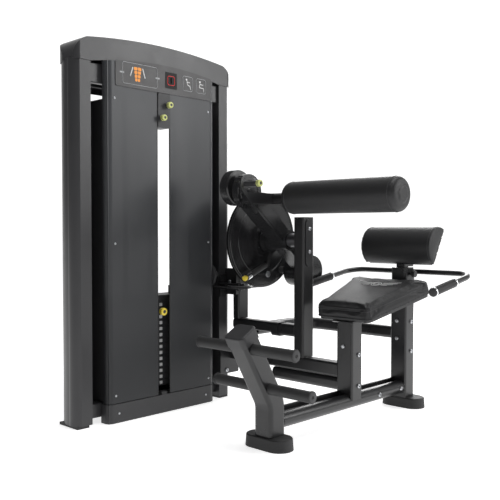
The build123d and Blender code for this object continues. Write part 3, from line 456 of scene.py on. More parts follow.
class Shade(Enum):
    """Every finish on the machine."""

    FRAME = PowderCoat("frame_black", (0.012, 0.012, 0.013), 0.3)
    ARM = PowderCoat("arm_black", (0.014, 0.014, 0.015), 0.24)
    TOWER = PowderCoat("tower_black", (0.028, 0.028, 0.03), 0.34)
    SHROUD = SmokedSheet("smoked_panel", (0.024, 0.025, 0.027))
    LABEL = Moulded("label_panel", (0.012, 0.011, 0.012), 0.3)
    PLATES = CastPlate("plate_iron", (0.03, 0.03, 0.032))
    CHROME = Metal("chrome", (0.75, 0.76, 0.78), 0.12)
    ZINC = Metal("zinc", (0.5, 0.51, 0.53), 0.32)
    RINGS = Metal("ferrule_silver", (0.78, 0.79, 0.8), 0.24)
    AXLE = Metal("axle_steel", (0.2, 0.2, 0.21), 0.35)
    NYLON = Moulded("pulley_nylon", (0.05, 0.05, 0.053), 0.38)
    MOULDED = Moulded("moulded_black", (0.03, 0.03, 0.032))
    RUBBER = Rubber("rubber", (0.022, 0.022, 0.023))
    GRIP = Rubber("grip_rubber", (0.018, 0.018, 0.019), 0.5)
    LEATHER = Leather("pad_leather", (0.011, 0.011, 0.012))
    THREAD = Rubber("thread", (0.05, 0.05, 0.052), 0.7)
    KNOB = Moulded("pale_knob", (0.62, 0.66, 0.22), 0.3)
    SELECTOR = Moulded("selector_yellow", (0.8, 0.62, 0.06), 0.3)
    CABLE = CableSheath("cable_black", (0.02, 0.02, 0.021))
    INK_WHITE = PrintedInk("ink_white", (0.72, 0.72, 0.72))
    INK_GREY = PrintedInk("ink_grey", (0.38, 0.39, 0.4))
    INK_ORANGE = PrintedInk("ink_orange", (0.85, 0.3, 0.03))
    INK_RED = PrintedInk("ink_red", (0.6, 0.03, 0.03))
    # near-black: black print field of the panel plaque, and painted hole shade in the foot-rod discs
    HOLE = Moulded("hole_dark", (0.004, 0.004, 0.004), 0.6)

    def on(self, *nodes: str) -> None:
        """Dresses CAD nodes in this finish.

        Args:
            nodes: the nodes' names.
        """
        for node in nodes:
            self.value.dress(frame["nodes"][node])
            LOG.info("%s: dressed in %s", node, self.value.name)


# Mesh tools -----------------------------------------------------------------------------------------------


@dataclass
class Piece:
    """A new visible piece, gathered in one bmesh and then placed on its body."""

    name: str
    body: str
    finish: Shade
    slot: str
    mesh: bmesh.types.BMesh = field(default_factory=bmesh.new)

    def block(self, low: Vector, high: Vector, bevel: float = 0.0008) -> "Piece":
        """Adds a box with eased edges.

        Args:
            low: lowest corner.
            high: highest corner.
            bevel: width of the eased edge.

        Returns:
            This piece.
        """
        made = bmesh.ops.create_cube(self.mesh, size=1.0)["verts"]
        size = Vector(high) - Vector(low)
        for vert in made:
            vert.co = Vector(low) + Vector((vert.co[i] + 0.5) * size[i] for i in range(3))
        edges = list({e for v in made for e in v.link_edges})
        bmesh.ops.bevel(self.mesh, geom=edges, offset=bevel, segments=2, affect="EDGES", profile=0.6)
        return self

    def turned(self, centre: Vector, axis: Vector, outline: list[tuple[float, float]],
               steps: int = 40) -> "Piece":
        """Adds a turned form.

        Args:
            centre: point on the axis where the outline's distance is 0.
            axis: direction of the axis.
            outline: distances along the axis with radii, in order.
            steps: sides round the axis.

        Returns:
            This piece.
        """
        turn = Vector(axis).normalized().to_track_quat("Z", "Y").to_matrix()
        rings = []
        for along, radius in outline:
            if radius <= 0:
                rings.append([self.mesh.verts.new(Vector(centre) + turn @ Vector((0, 0, along)))])
                continue
            angles = [2 * math.pi * i / steps for i in range(steps)]
            rings.append([self.mesh.verts.new(Vector(centre) + turn @ Vector(
                (radius * math.cos(a), radius * math.sin(a), along))) for a in angles])
        for first, second in zip(rings, rings[1:]):
            self._bridge(first, second)
        return self

    def _bridge(self, first: list, second: list) -> None:
        """Joins two rings of points, either of which may be one point.

        Args:
            first: ring of points.
            second: next ring.
        """
        count = max(len(first), len(second))
        for i in range(count):
            j = (i + 1) % count
            corners = [first[i % len(first)], first[j % len(first)],
                       second[j % len(second)], second[i % len(second)]]
            unique = list(dict.fromkeys(corners))
            if len(unique) > 2:
                self.mesh.faces.new(unique)

    def rope(self, path: list[Vector], radius: float, sides: int = 10, closed: bool = False) -> "Piece":
        """Adds a round bead along a line.

        Args:
            path: points of the line.
            radius: bead radius.
            sides: sides round the bead.
            closed: whether the line joins its own start.

        Returns:
            This piece.
        """
        rings = []
        last = len(path) - 1
        for i, point in enumerate(path):
            before = path[i - 1] if i or closed else path[0]
            after = path[(i + 1) % len(path)] if i < last or closed else path[last]
            along = (after - before).normalized()
            side = along.orthogonal() if abs(along.z) > 0.95 else along.cross(Vector((0, 0, 1)))
            side.normalize()
            up = along.cross(side)
            rings.append([self.mesh.verts.new(point + radius * (math.cos(a) * side + math.sin(a) * up))
                          for a in (2 * math.pi * k / sides for k in range(sides))])
        pairs = zip(rings, rings[1:] + rings[:1]) if closed else zip(rings, rings[1:])
        for first, second in pairs:
            self._bridge(first, second)
        if not closed:
            self.mesh.faces.new(list(reversed(rings[0])))
            self.mesh.faces.new(rings[-1])
        return self

    def slab(self, outline: list[Vector], depth: Vector) -> "Piece":
        """Adds a flat plate.

        Args:
            outline: corners of one face, in order.
            depth: from that face to the other.

        Returns:
            This piece.
        """
        near = [self.mesh.verts.new(p) for p in outline]
        far = [self.mesh.verts.new(p + depth) for p in outline]
        self.mesh.faces.new(near)
        self.mesh.faces.new(list(reversed(far)))
        self._bridge(near, far)
        return self

    def finished(self, smooth: bool = True, angle: float = 35.0) -> bpy.types.Object:
        """Makes the object, dresses it and puts it on its body.

        Args:
            smooth: whether shading runs over shallow edges.
            angle: steepest edge that is shaded smoothly, in degrees.

        Returns:
            The object.
        """
        bmesh.ops.recalc_face_normals(self.mesh, faces=self.mesh.faces)
        data = bpy.data.meshes.new(self.name)
        self.mesh.to_mesh(data)
        self.mesh.free()
        if smooth:
            data.shade_smooth()
            data.set_sharp_from_angle(angle=math.radians(angle))
        thing = bpy.data.objects.new(self.name, data)
        bpy.context.scene.collection.objects.link(thing)
        self.finish.value.dress(thing)
        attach(thing, self.body)
        LOG.info("%s: %d faces on %s", self.name, len(data.polygons), self.body)
        return thing


def rounded(width: float, height: float, radius: float, steps: int = 5) -> list[tuple[float, float]]:
    """Corners of a rounded rectangle round the origin.

    Args:
        width: overall width.
        height: overall height.
        radius: corner radius.
        steps: points in each corner.

    Returns:
        The corners, in order.
    """
    points = []
    for turn, (sx, sy) in enumerate(((1, 1), (-1, 1), (-1, -1), (1, -1))):
        for i in range(steps + 1):
            angle = math.pi / 2 * (turn + i / steps)
            points.append((sx * (width / 2 - radius) + radius * math.cos(angle),
                           sy * (height / 2 - radius) + radius * math.sin(angle)))
    return points


def at(joint: str) -> Vector:
    """Point that a hinge turns about.

    Args:
        joint: the joint's name.

    Returns:
        Its position in the row frame.
    """
    return Vector(next(j["pos_m"] for j in frame["joints"] if j["name"] == joint))


def middle(node: str) -> Vector:
    """Centre of a node's box."""
    low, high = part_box(node)
    return (low + high) / 2


def ring_points(centre: Vector, across: Vector, up: Vector, outline: list[tuple[float, float]],
                step: float = 0.0025) -> list[Vector]:
    """Closed line through an outline, in short even steps.

    Args:
        centre: middle of the outline.
        across: direction of the outline's first number.
        up: direction of its second number.
        outline: corners in metres.
        step: longest step.

    Returns:
        The points.
    """
    corners = [centre + across * a + up * b for a, b in outline]
    points = []
    for first, second in zip(corners, corners[1:] + corners[:1]):
        parts = max(1, round((second - first).length / step))
        points += [first.lerp(second, i / parts) for i in range(parts)]
    return [p for p, q in zip(points, points[1:] + points[:1]) if (p - q).length > 1e-6]


X, Y, Z = Vector((1, 0, 0)), Vector((0, 1, 0)), Vector((0, 0, 1))


# Tower ----------------------------------------------------------------------------------------------------


@dataclass
class Tower:
    """Weight tower: uprights, header, smoked panels and printed instruction panel."""

    outline: float = 0.0009
    proud: float = 0.0006
    screw: float = 0.0045

    def build(self) -> None:
        """Dresses the tower and adds its small pieces."""
        Shade.TOWER.on("left_upright", "right_upright", "top_cap", "tower_crossbeams", "rear_cover")
        Shade.SHROUD.on("shroud_left", "shroud_right")
        Shade.MOULDED.on("base_cover", "addon_housing")
        Shade.LABEL.on("header_panel")
        Shade.RUBBER.on("tower_feet", "stack_bumpers")
        Shade.CHROME.on("guide_rods")
        Shade.ZINC.on("pulley_studs")
        Shade.FRAME.on("pulley_bracket")
        Shade.NYLON.on("front_pulley", "turn_pulley", "top_pulley_outer", "top_pulley_inner")
        Shade.CABLE.on("lift_cable")
        self.trim()
        self.print_panel()

    def trim(self) -> None:
        """Screws of the base cover and panels, the stop in the slot and rubber beads along the slot's edges.
        """
        screws = Piece("panel_screws", "frame", Shade.ZINC, "zinc")
        dome = [(0.0, self.screw), (0.0012, self.screw), (0.0022, self.screw * 0.7),
                (0.0024, self.screw * 0.4), (0.0010, self.screw * 0.34), (0.0010, 0.0)]
        low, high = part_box("base_cover")
        for x in (low.x + 0.05, high.x - 0.05):
            screws.turned(Vector((x, low.y, (low.z + high.z) / 2)), -Y, dome, 20)
        for node, inner in (("shroud_left", 1), ("shroud_right", -1)):
            a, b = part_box(node)
            x = a.x + 0.035 if inner > 0 else b.x - 0.035
            for z in (a.z + 0.03, a.z + 0.62, b.z - 0.16):
                screws.turned(Vector((x, a.y, z)), -Y, dome, 20)
        screws.finished()
        slot = (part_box("shroud_left")[1].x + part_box("shroud_right")[0].x) / 2
        stop = Piece("slot_stop", "frame", Shade.RUBBER, "rubber")
        stop.block(Vector((slot - 0.014, low.y - 0.001, high.z)),
                   Vector((slot + 0.014, low.y + 0.022, high.z + 0.014)), 0.003).finished()
        edges = Piece("slot_edge_trim", "frame", Shade.RUBBER, "rubber")
        for node, side in (("shroud_left", 1), ("shroud_right", 0)):
            a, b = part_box(node)
            x = b.x if side else a.x
            edges.rope([Vector((x, a.y + 0.0025, a.z + 0.002 + i * (b.z - 0.12 - a.z) / 40))
                        for i in range(41)], 0.0031, 12)
        edges.finished()

    def print_panel(self) -> None:
        """Generic pictograms on the instruction panel, with no lettering."""
        low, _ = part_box("header_panel")
        face = low.y - self.proud
        depth = Vector((0, self.proud, 0))
        mid_z = low.z + 0.055

        def spot(x: float, z: float) -> Vector:
            """Point on the panel's face, from its lower left corner."""
            return Vector((low.x + x, face, z))

        grey = Piece("panel_outlines", "frame", Shade.INK_GREY, "label_panel")
        for x, width, height in ((0.118, 0.17, 0.082), (0.365, 0.052, 0.06), (0.44, 0.052, 0.06)):
            grey.rope(ring_points(spot(x, mid_z), X, Z, rounded(width, height, 0.008)), self.outline, 6, True)
        for x, width in ((0.03, 0.02), (0.205, 0.02)):
            grey.slab([spot(x + a, mid_z + b) for a, b in rounded(width, 0.006, 0.002)], depth)
        grey.finished()
        orange = Piece("panel_torso", "frame", Shade.INK_ORANGE, "label_panel")
        for row in range(4):
            for side in (-1, 1):
                width = 0.017 - 0.002 * row
                orange.slab([spot(0.105 + side * (width / 2 + 0.001) + a, mid_z + 0.022 - row * 0.0145 + b)
                             for a, b in rounded(width, 0.0125, 0.004)], depth)
        orange.finished()
        white = Piece("panel_figures", "frame", Shade.INK_WHITE, "label_panel")
        for x, lean in ((0.365, 0.5), (0.44, -0.35)):
            white.slab([spot(x - 0.006 + 0.0042 * math.cos(t), mid_z + 0.017 + 0.0042 * math.sin(t))
                        for t in (k * math.pi / 6 for k in range(12))], depth)
            hip = (-0.006 + 0.012 * lean, -0.006)
            limbs = (((-0.006, 0.011), hip), (hip, (0.013, -0.008)), ((0.013, -0.008), (0.015, -0.022)),
                     ((-0.005, 0.008), (0.011, 0.006)))
            for start, end in limbs:
                limb = [spot(x + point[0], mid_z + point[1]) for point in (start, end)]
                white.rope(limb, 0.0018, 6)
        for side in (-1, 1):
            white.rope([spot(0.105 + side * (0.024 + 0.012 * i / 8), mid_z + 0.026 - 0.0045 * i)
                        for i in range(9)], 0.0024, 6)
        white.finished()
        block = Piece("panel_plaque", "frame", Shade.HOLE, "label_panel")
        block.slab([spot(0.275 + a, mid_z + b) for a, b in rounded(0.062, 0.066, 0.004)], depth * 0.6)
        block.finished()
        red = Piece("panel_mark", "frame", Shade.INK_RED, "label_panel")
        red.rope(ring_points(spot(0.275, mid_z), X, Z, rounded(0.036, 0.036, 0.007)), 0.0016, 6, True)
        red.slab([spot(0.275 + a, mid_z + b) for a, b in rounded(0.006, 0.024, 0.002)], depth)
        red.finished()


@dataclass
class Stack:
    """Weight stack with its labels, pin and small added weights."""

    resting: int = 12
    lifted: int = 2
    label_width: float = 0.015
    label_height: float = 0.013
    label_offset: float = 0.019

    def build(self) -> None:
        """Dresses the stack and sticks a label on each plate."""
        Shade.PLATES.on("resting_plates", "lifted_plates", "head_plate")
        Shade.ZINC.on("selector_stem")
        Shade.MOULDED.on("selector_pin", "addon_knob_upper", "addon_knob_lower")
        self.labels("plate_labels", "resting_plates", "frame", self.resting)
        self.labels("lifted_plate_labels", "lifted_plates", "stack", self.lifted)
        for node, body, shade, slot in (("selector_pin", "selector", Shade.SELECTOR, "selector_yellow"),
                                        ("addon_knob_upper", "addon_upper", Shade.KNOB, "pale_knob"),
                                        ("addon_knob_lower", "addon_lower", Shade.KNOB, "pale_knob")):
            pull_knob(node + "_grip", node, body, shade, slot, 0.016)

    def labels(self, name: str, node: str, body: str, count: int) -> None:
        """Puts a pale label beside each plate's pin hole.

        Args:
            name: the new piece's name.
            node: the plates' node.
            body: body that the plates ride on.
            count: number of plates.
        """
        low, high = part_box(node)
        pitch = (high.z - low.z) / count
        piece = Piece(name, body, Shade.INK_WHITE, "plate_iron")
        centre_x = middle(node).x + self.label_offset
        for i in range(count):
            centre = Vector((centre_x, low.y - 0.0004, low.z + (i + 0.5) * pitch))
            outline = rounded(self.label_width, self.label_height, 0.002)
            piece.slab([centre + X * a + Z * b for a, b in outline], Vector((0, 0.0004, 0)))
        piece.finished()


def pull_knob(name: str, node: str, body: str, shade: Shade, slot: str, length: float) -> None:
    """Ribbed cover over the near end of a pull knob that points to -Y.

    Args:
        name: the new piece's name.
        node: the knob's node.
        body: body that it rides on.
        shade: its finish.
        slot: name of its material slot; the piece keeps it but nothing uses it.
        length: length of the cover.
    """
    low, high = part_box(node)
    radius = (high.x - low.x) / 2 + 0.0004
    centre = Vector(((low.x + high.x) / 2, low.y - 0.0004, (low.z + high.z) / 2))
    piece = Piece(name, body, shade, slot)
    outline = [(0.0008, 0.0), (0.0008, radius * 0.45), (0.0, radius * 0.5), (0.0, radius * 0.78),
               (0.0012, radius * 0.93), (0.003, radius)]
    outline += [(0.004 + 0.0022 * i + shift, radius + lift) for i in range(int((length - 0.006) / 0.0022))
                for shift, lift in ((0.0, 0.0), (0.0007, -0.0005), (0.0014, -0.0005))]
    outline += [(length - 0.001, radius), (length, radius - 0.0012), (length, radius - 0.004)]
    piece.turned(centre, Y, outline, 48).finished()


# Swing arm ------------------------------------------------------------------------------------------------


@dataclass
class SwingArm:
    """Arm, cam, counterweight, range lever and start pin."""

    strip_width: float = 0.040
    boss_radius: float = 0.056

    def build(self) -> None:
        """Dresses the arm and adds its small pieces."""
        Shade.ARM.on("swing_arm", "cam_disc", "counterweight", "range_lever")
        Shade.FRAME.on("roller_tube", "start_guard")
        Shade.CABLE.on("cam_cable")
        Shade.AXLE.on("pivot_axle")
        Shade.MOULDED.on("start_pin")
        Shade.SELECTOR.on("lever_button")
        self.face()
        self.cam()
        self.lever()
        pull_knob("start_pin_grip", "start_pin", "start_stop", Shade.KNOB, "pale_knob", 0.016)

    def ends(self) -> tuple[Vector, Vector]:
        """Centres of the arm's head and lower end, on its front face."""
        low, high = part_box("swing_arm")
        weight = middle("counterweight")
        reach = Vector((low.x + 0.068 - weight.x, 0, high.z - 0.088 - weight.z))
        front = low.y + 0.004
        return (Vector((weight.x + reach.x, front, weight.z + reach.z)), Vector((weight.x, front, weight.z)),)

    def face(self) -> None:
        """Raised strip and head boss on the arm's front face, and the counterweight's rim."""
        head, foot = self.ends()
        along = (foot - head).normalized()
        across = along.cross(Y)
        strip = Piece("arm_face_strip", "arm", Shade.ARM, "arm_black")
        mid = (head + foot) / 2 + along * 0.012
        length = (foot - head).length - 0.11
        outline = [(a, b) for a, b in rounded(length, self.strip_width, 0.012)]
        strip.slab([mid + along * a + across * b for a, b in outline], -Y * 0.003)
        boss = self.boss_radius
        strip.turned(head + Y * 0.001, -Y, [(0.0, boss), (0.004, boss), (0.0055, boss - 0.002),
                                            (0.0055, boss - 0.012), (0.003, boss - 0.014), (0.003, 0.012),
                                            (0.006, 0.010), (0.006, 0.0)], 64)
        strip.finished()
        weight_low, weight_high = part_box("counterweight")
        centre = middle("counterweight")
        rim = Piece("counterweight_face", "arm", Shade.ARM, "arm_black")
        radius = (weight_high.x - weight_low.x) / 2
        rim.turned(Vector((centre.x, weight_high.y - 0.001, centre.z)), Y,
                   [(0.0, radius - 0.006), (0.003, radius - 0.008), (0.003, radius - 0.018),
                    (0.0015, radius - 0.020), (0.0015, 0.014), (0.004, 0.012), (0.004, 0.0)], 64)
        rim.finished()

    def cam(self) -> None:
        """Raised rings, one bolt and the rubber stop on the cam's front face."""
        low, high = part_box("cam_disc")
        pivot = at("arm_swing")
        radius = (high.x - low.x) / 2
        plate_front = high.y - 0.018
        centre = Vector((pivot.x, plate_front, pivot.z))
        rings = Piece("cam_rings", "arm", Shade.ARM, "arm_black")
        for size, lift in ((radius - 0.004, 0.003), (radius - 0.052, 0.002)):
            rings.turned(centre + Y * 0.0004, -Y, [(0.0, size), (lift, size - 0.0015), (lift, size - 0.006),
                                                   (0.0, size - 0.008)], 96)
        rings.finished()
        bolts = Piece("cam_bolts", "arm", Shade.ZINC, "zinc")
        head = [(0.0, 0.013), (0.005, 0.013), (0.0062, 0.0115), (0.0062, 0.0065), (0.003, 0.0060),
                (0.003, 0.0)]
        bolts.turned(centre + Vector((0.029, 0.0004, -0.150)), -Y, head, 24)
        bolts.finished()
        stop = Piece("cam_stop", "arm", Shade.RUBBER, "rubber")
        stop.turned(centre + Vector((0.116, 0.0004, -0.134)), -Y,
                    [(0.0, 0.016), (0.012, 0.016), (0.018, 0.0145), (0.021, 0.010), (0.022, 0.0)], 32)
        stop.finished()

    def lever(self) -> None:
        """Ribbed sleeve and bright ferrule of the range lever."""
        button = middle("lever_button")
        direction = Vector((-130.0, 0.0, -54.0)).normalized()
        tip = button + direction * 0.0125
        sleeve = Piece("lever_sleeve", "lever", Shade.GRIP, "rubber")
        start = tip - direction * 0.152
        outline = [(0.006, 0.0100), (0.008, 0.0116)]
        ridge = ((0.0, 0.0122), (0.0028, 0.0122), (0.0036, 0.0113), (0.0052, 0.0113))
        outline += [(0.010 + 0.006 * i + shift, radius) for i in range(16) for shift, radius in ridge]
        outline += [(0.1065, 0.0120), (0.1075, 0.0100)]
        sleeve.turned(start, direction, outline, 36).finished()
        ferrule = Piece("lever_ferrule", "lever", Shade.RINGS, "chrome")
        ferrule.turned(start, direction,
                       [(0.1082, 0.0122), (0.1090, 0.0130), (0.1300, 0.0130), (0.1316, 0.0122)], 40)
        ferrule.finished()


# Upholstery -----------------------------------------------------------------------------------------------


@dataclass
class SoftPad:
    """An upholstered pad, swollen by a cloth simulation from its CAD solid."""

    node: str
    piece: str
    body: str
    held: Vector
    cap: float = 0.007
    shrink: float = 0.004
    voxel: float = 0.0055
    pressure: float = 4.0
    fill: float = 0.85
    core: float = 0.0
    thing: Optional[bpy.types.Object] = None
    rest: list = field(default_factory=list)

    def start(self) -> None:
        """Copies the solid, remeshes it and sets the cloth up."""
        data = frame["nodes"][self.node].data.copy()
        self.thing = bpy.data.objects.new(self.piece, data)
        bpy.context.scene.collection.objects.link(self.thing)
        self.apply("REMESH", {"mode": "VOXEL", "voxel_size": self.voxel, "use_smooth_shade": True})
        self.apply("SMOOTH", {"factor": 0.5, "iterations": 4})
        data = self.thing.data
        normals = [v.normal.copy() for v in data.vertices]
        group = self.thing.vertex_groups.new(name="held")
        centre = middle(self.node)
        for vert, normal in zip(data.vertices, normals):
            off_axis = Vector((vert.co.x - centre.x, 0, vert.co.z - centre.z)).length
            fixed = normal.dot(self.held) > 0.6 if self.core == 0 else off_axis < self.core
            if fixed:
                group.add([vert.index], 1.0, "REPLACE")
            else:
                vert.co -= normal * self.shrink
        self.rest = [v.co.copy() for v in data.vertices]
        self.cloth()

    def apply(self, kind: str, settings: dict) -> None:
        """Adds one modifier and applies it.

        Args:
            kind: modifier type.
            settings: its attributes.
        """
        modifier = self.thing.modifiers.new(kind.lower(), kind)
        for name, value in settings.items():
            setattr(modifier, name, value)
        self.keep_result()

    def keep_result(self) -> None:
        """Makes the modified mesh the object's own and drops the modifiers."""
        graph = bpy.context.evaluated_depsgraph_get()
        graph.update()
        data = bpy.data.meshes.new_from_object(self.thing.evaluated_get(graph))
        self.thing.modifiers.clear()
        self.thing.data = data

    def cloth(self) -> None:
        """Adds the pressure cloth."""
        modifier = self.thing.modifiers.new("swell", "CLOTH")
        settings = modifier.settings
        settings.quality = 5
        settings.mass = 0.3
        settings.use_pressure = True
        settings.uniform_pressure_force = self.pressure
        settings.tension_stiffness = 20.0
        settings.compression_stiffness = 20.0
        settings.bending_stiffness = 1.5
        settings.vertex_group_mass = "held"
        settings.effector_weights.gravity = 0.0
        modifier.collision_settings.use_collision = False
        modifier.point_cache.frame_start = 1
        modifier.point_cache.frame_end = 20

    def settle(self) -> bpy.types.Object:
        """Keeps the swollen shape, within its cap, and smooths it.

        Returns:
            The pad.
        """
        if self.thing.modifiers:
            self.keep_result()
            for vert, rest in zip(self.thing.data.vertices, self.rest):
                moved = vert.co - rest
                if moved.length > self.cap:
                    vert.co = rest + moved.normalized() * self.cap
        self.thing.vertex_groups.clear()
        self.thing.data.shade_smooth()
        fine = self.thing.modifiers.new("fine", "SUBSURF")
        fine.levels = fine.render_levels = 1
        Shade.LEATHER.value.dress(self.thing)
        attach(self.thing, self.body)
        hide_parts(self.node)
        LOG.info("%s: %d points after settling", self.piece, len(self.thing.data.vertices))
        return self.thing

    def seam(self, name: str, line: list[Vector], toward: Vector, radial: bool = False, thick: float = 0.0011,
             closed: bool = True) -> None:
        """Lays a sewn welt on the pad's surface.

        Args:
            name: the new piece's name.
            line: points outside the pad, in order.
            toward: direction to the surface, or the point on the axis that each ray is aimed at when radial.
            radial: whether rays aim at the line's own centre instead of along toward.
            thick: welt radius.
            closed: whether the welt joins its own start.
        """
        tree = self.surface()
        found = []
        for point in line:
            aim = (toward - point).normalized() if radial else toward
            hit = tree.ray_cast(point, aim)[0]
            if hit is not None:
                found.append(hit - aim * thick * 0.15)
        found = [p for p, q in zip(found, found[1:] + found[:1]) if (p - q).length > 1e-4]
        if len(found) > 8:
            welt = Piece(name, self.body, Shade.THREAD, "pad_leather").rope(found, thick, 8, closed)
            welt.finished()

    def surface(self) -> BVHTree:
        """Search tree of the pad's shown surface."""
        graph = bpy.context.evaluated_depsgraph_get()
        graph.update()
        return BVHTree.FromObject(self.thing, graph)


@dataclass
class Upholstery:
    """Seat, lumbar pad and roller."""

    seat_slope: float = 15.0
    lumbar_lean: float = 30.0

    def build(self) -> None:
        """Swells the three pads together, then sews them."""
        lean = math.radians(self.lumbar_lean)
        back = Vector((math.cos(lean), 0, -math.sin(lean)))
        seat = SoftPad("seat_pad", "seat_cushion", "frame", -Z, 0.009, 0.004)
        lumbar = SoftPad("lumbar_pad", "lumbar_cushion", "lumbar", back, 0.006, 0.004)
        roller = SoftPad("roller_pad", "roller_cushion", "roller", -Z, 0.006, 0.004, core=0.030)
        pads = (seat, lumbar, roller)
        for pad in pads:
            pad.start()
        for step in range(1, 21):
            bpy.context.scene.frame_set(step)
        for pad in pads:
            pad.settle()
        self.sew_seat(seat)
        self.sew_roller(roller)
        self.sew_lumbar(lumbar, lean)

    def sew_seat(self, pad: SoftPad) -> None:
        """Welts round the cushion's top and bottom edges, and a plain badge near its back."""
        low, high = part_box("seat_pad")
        slope = math.radians(self.seat_slope)
        run = Vector((math.cos(slope), 0, math.sin(slope)))
        normal = Vector((-math.sin(slope), 0, math.cos(slope)))
        centre_y = (low.y + high.y) / 2
        front = Vector((low.x + 0.0140, centre_y, high.z - 0.0947))
        length = 0.366
        middle_point = front + run * length / 2
        for name, depth in (("seat_welt_upper", 0.015), ("seat_welt_lower", 0.046)):
            origin = middle_point - normal * depth
            line = []
            for i in range(240):
                angle = 2 * math.pi * i / 240
                line.append(origin + run * math.cos(angle) * 0.5 + Y * math.sin(angle) * 0.5)
            pad.seam(name, line, origin, True)
        self.mark(pad, front + run * length * 0.66, run, normal)

    def mark(self, pad: SoftPad, centre: Vector, run: Vector, normal: Vector) -> None:
        """Plain printed badge near the seat's back: a ring between two fans of bars.

        Args:
            pad: the seat cushion.
            centre: the badge's middle, on the seat's plane.
            run: direction to the seat's back.
            normal: direction away from the seat.
        """
        tree = pad.surface()
        lines = [[(0.022 * math.cos(a), 0.020 * math.sin(a)) for a in (math.pi * i / 20 for i in range(41))],
                 [(0.012 * math.cos(a), 0.011 * math.sin(a)) for a in (math.pi * i / 12 for i in range(25))]]
        for sign in (-1, 1):
            bars = ((0.100, 0.030), (0.092, 0.014), (0.078, 0.000), (0.058, -0.012))
            for bar, (reach, rise) in enumerate(bars):
                start = Vector((sign * 0.028, 0.012 - 0.008 * bar))
                lines.append([(start.x + (sign * reach - start.x) * i / 24,
                               start.y + (rise - start.y) * (i / 24) ** 1.6) for i in range(25)])
        badge = Piece("seat_badge", "frame", Shade.INK_WHITE, "pad_leather")
        for line in lines:
            hits = [tree.ray_cast(centre + Y * a + run * b + normal * 0.06, -normal)[0] for a, b in line]
            hits = [h for h in hits if h is not None]
            if len(hits) > 3:
                badge.rope(hits, 0.0016, 6)
        badge.finished()

    def sew_roller(self, pad: SoftPad) -> None:
        """Ring welts near both ends and one long seam underneath."""
        low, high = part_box("roller_pad")
        centre = middle("roller_pad")
        for name, y in (("roller_welt_near", low.y + 0.030), ("roller_welt_far", high.y - 0.030)):
            hub = Vector((centre.x, y, centre.z))
            line = [hub + Vector((math.cos(a), 0, math.sin(a))) * 0.12 for a in (2 * math.pi * i / 160
                                                                              for i in range(160))]
            pad.seam(name, line, hub, True, 0.0009)
        ends, steps = 0.032, 120
        under = [Vector((centre.x + 0.03, low.y + ends + i * (high.y - low.y - 2 * ends) / steps,
                         centre.z - 0.12)) for i in range(steps + 1)]
        pad.seam("roller_seam_long", under, Z, False, 0.0008, False)

    def sew_lumbar(self, pad: SoftPad, lean: float) -> None:
        """Welts round both ends of the lumbar pad."""
        low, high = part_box("lumbar_pad")
        back = Vector((math.cos(lean), 0, -math.sin(lean)))
        centre = middle("lumbar_pad")
        for name, y in (("lumbar_welt_near", low.y + 0.014), ("lumbar_welt_far", high.y - 0.014)):
            hub = Vector((centre.x, y, centre.z)) - back * 0.004
            line = [hub + Vector((math.cos(a), 0, math.sin(a))) * 0.2 for a in (2 * math.pi * i / 200
                                                                             for i in range(200))]
            pad.seam(name, line, hub, True, 0.0010)


# Seat side ------------------------------------------------------------------------------------------------


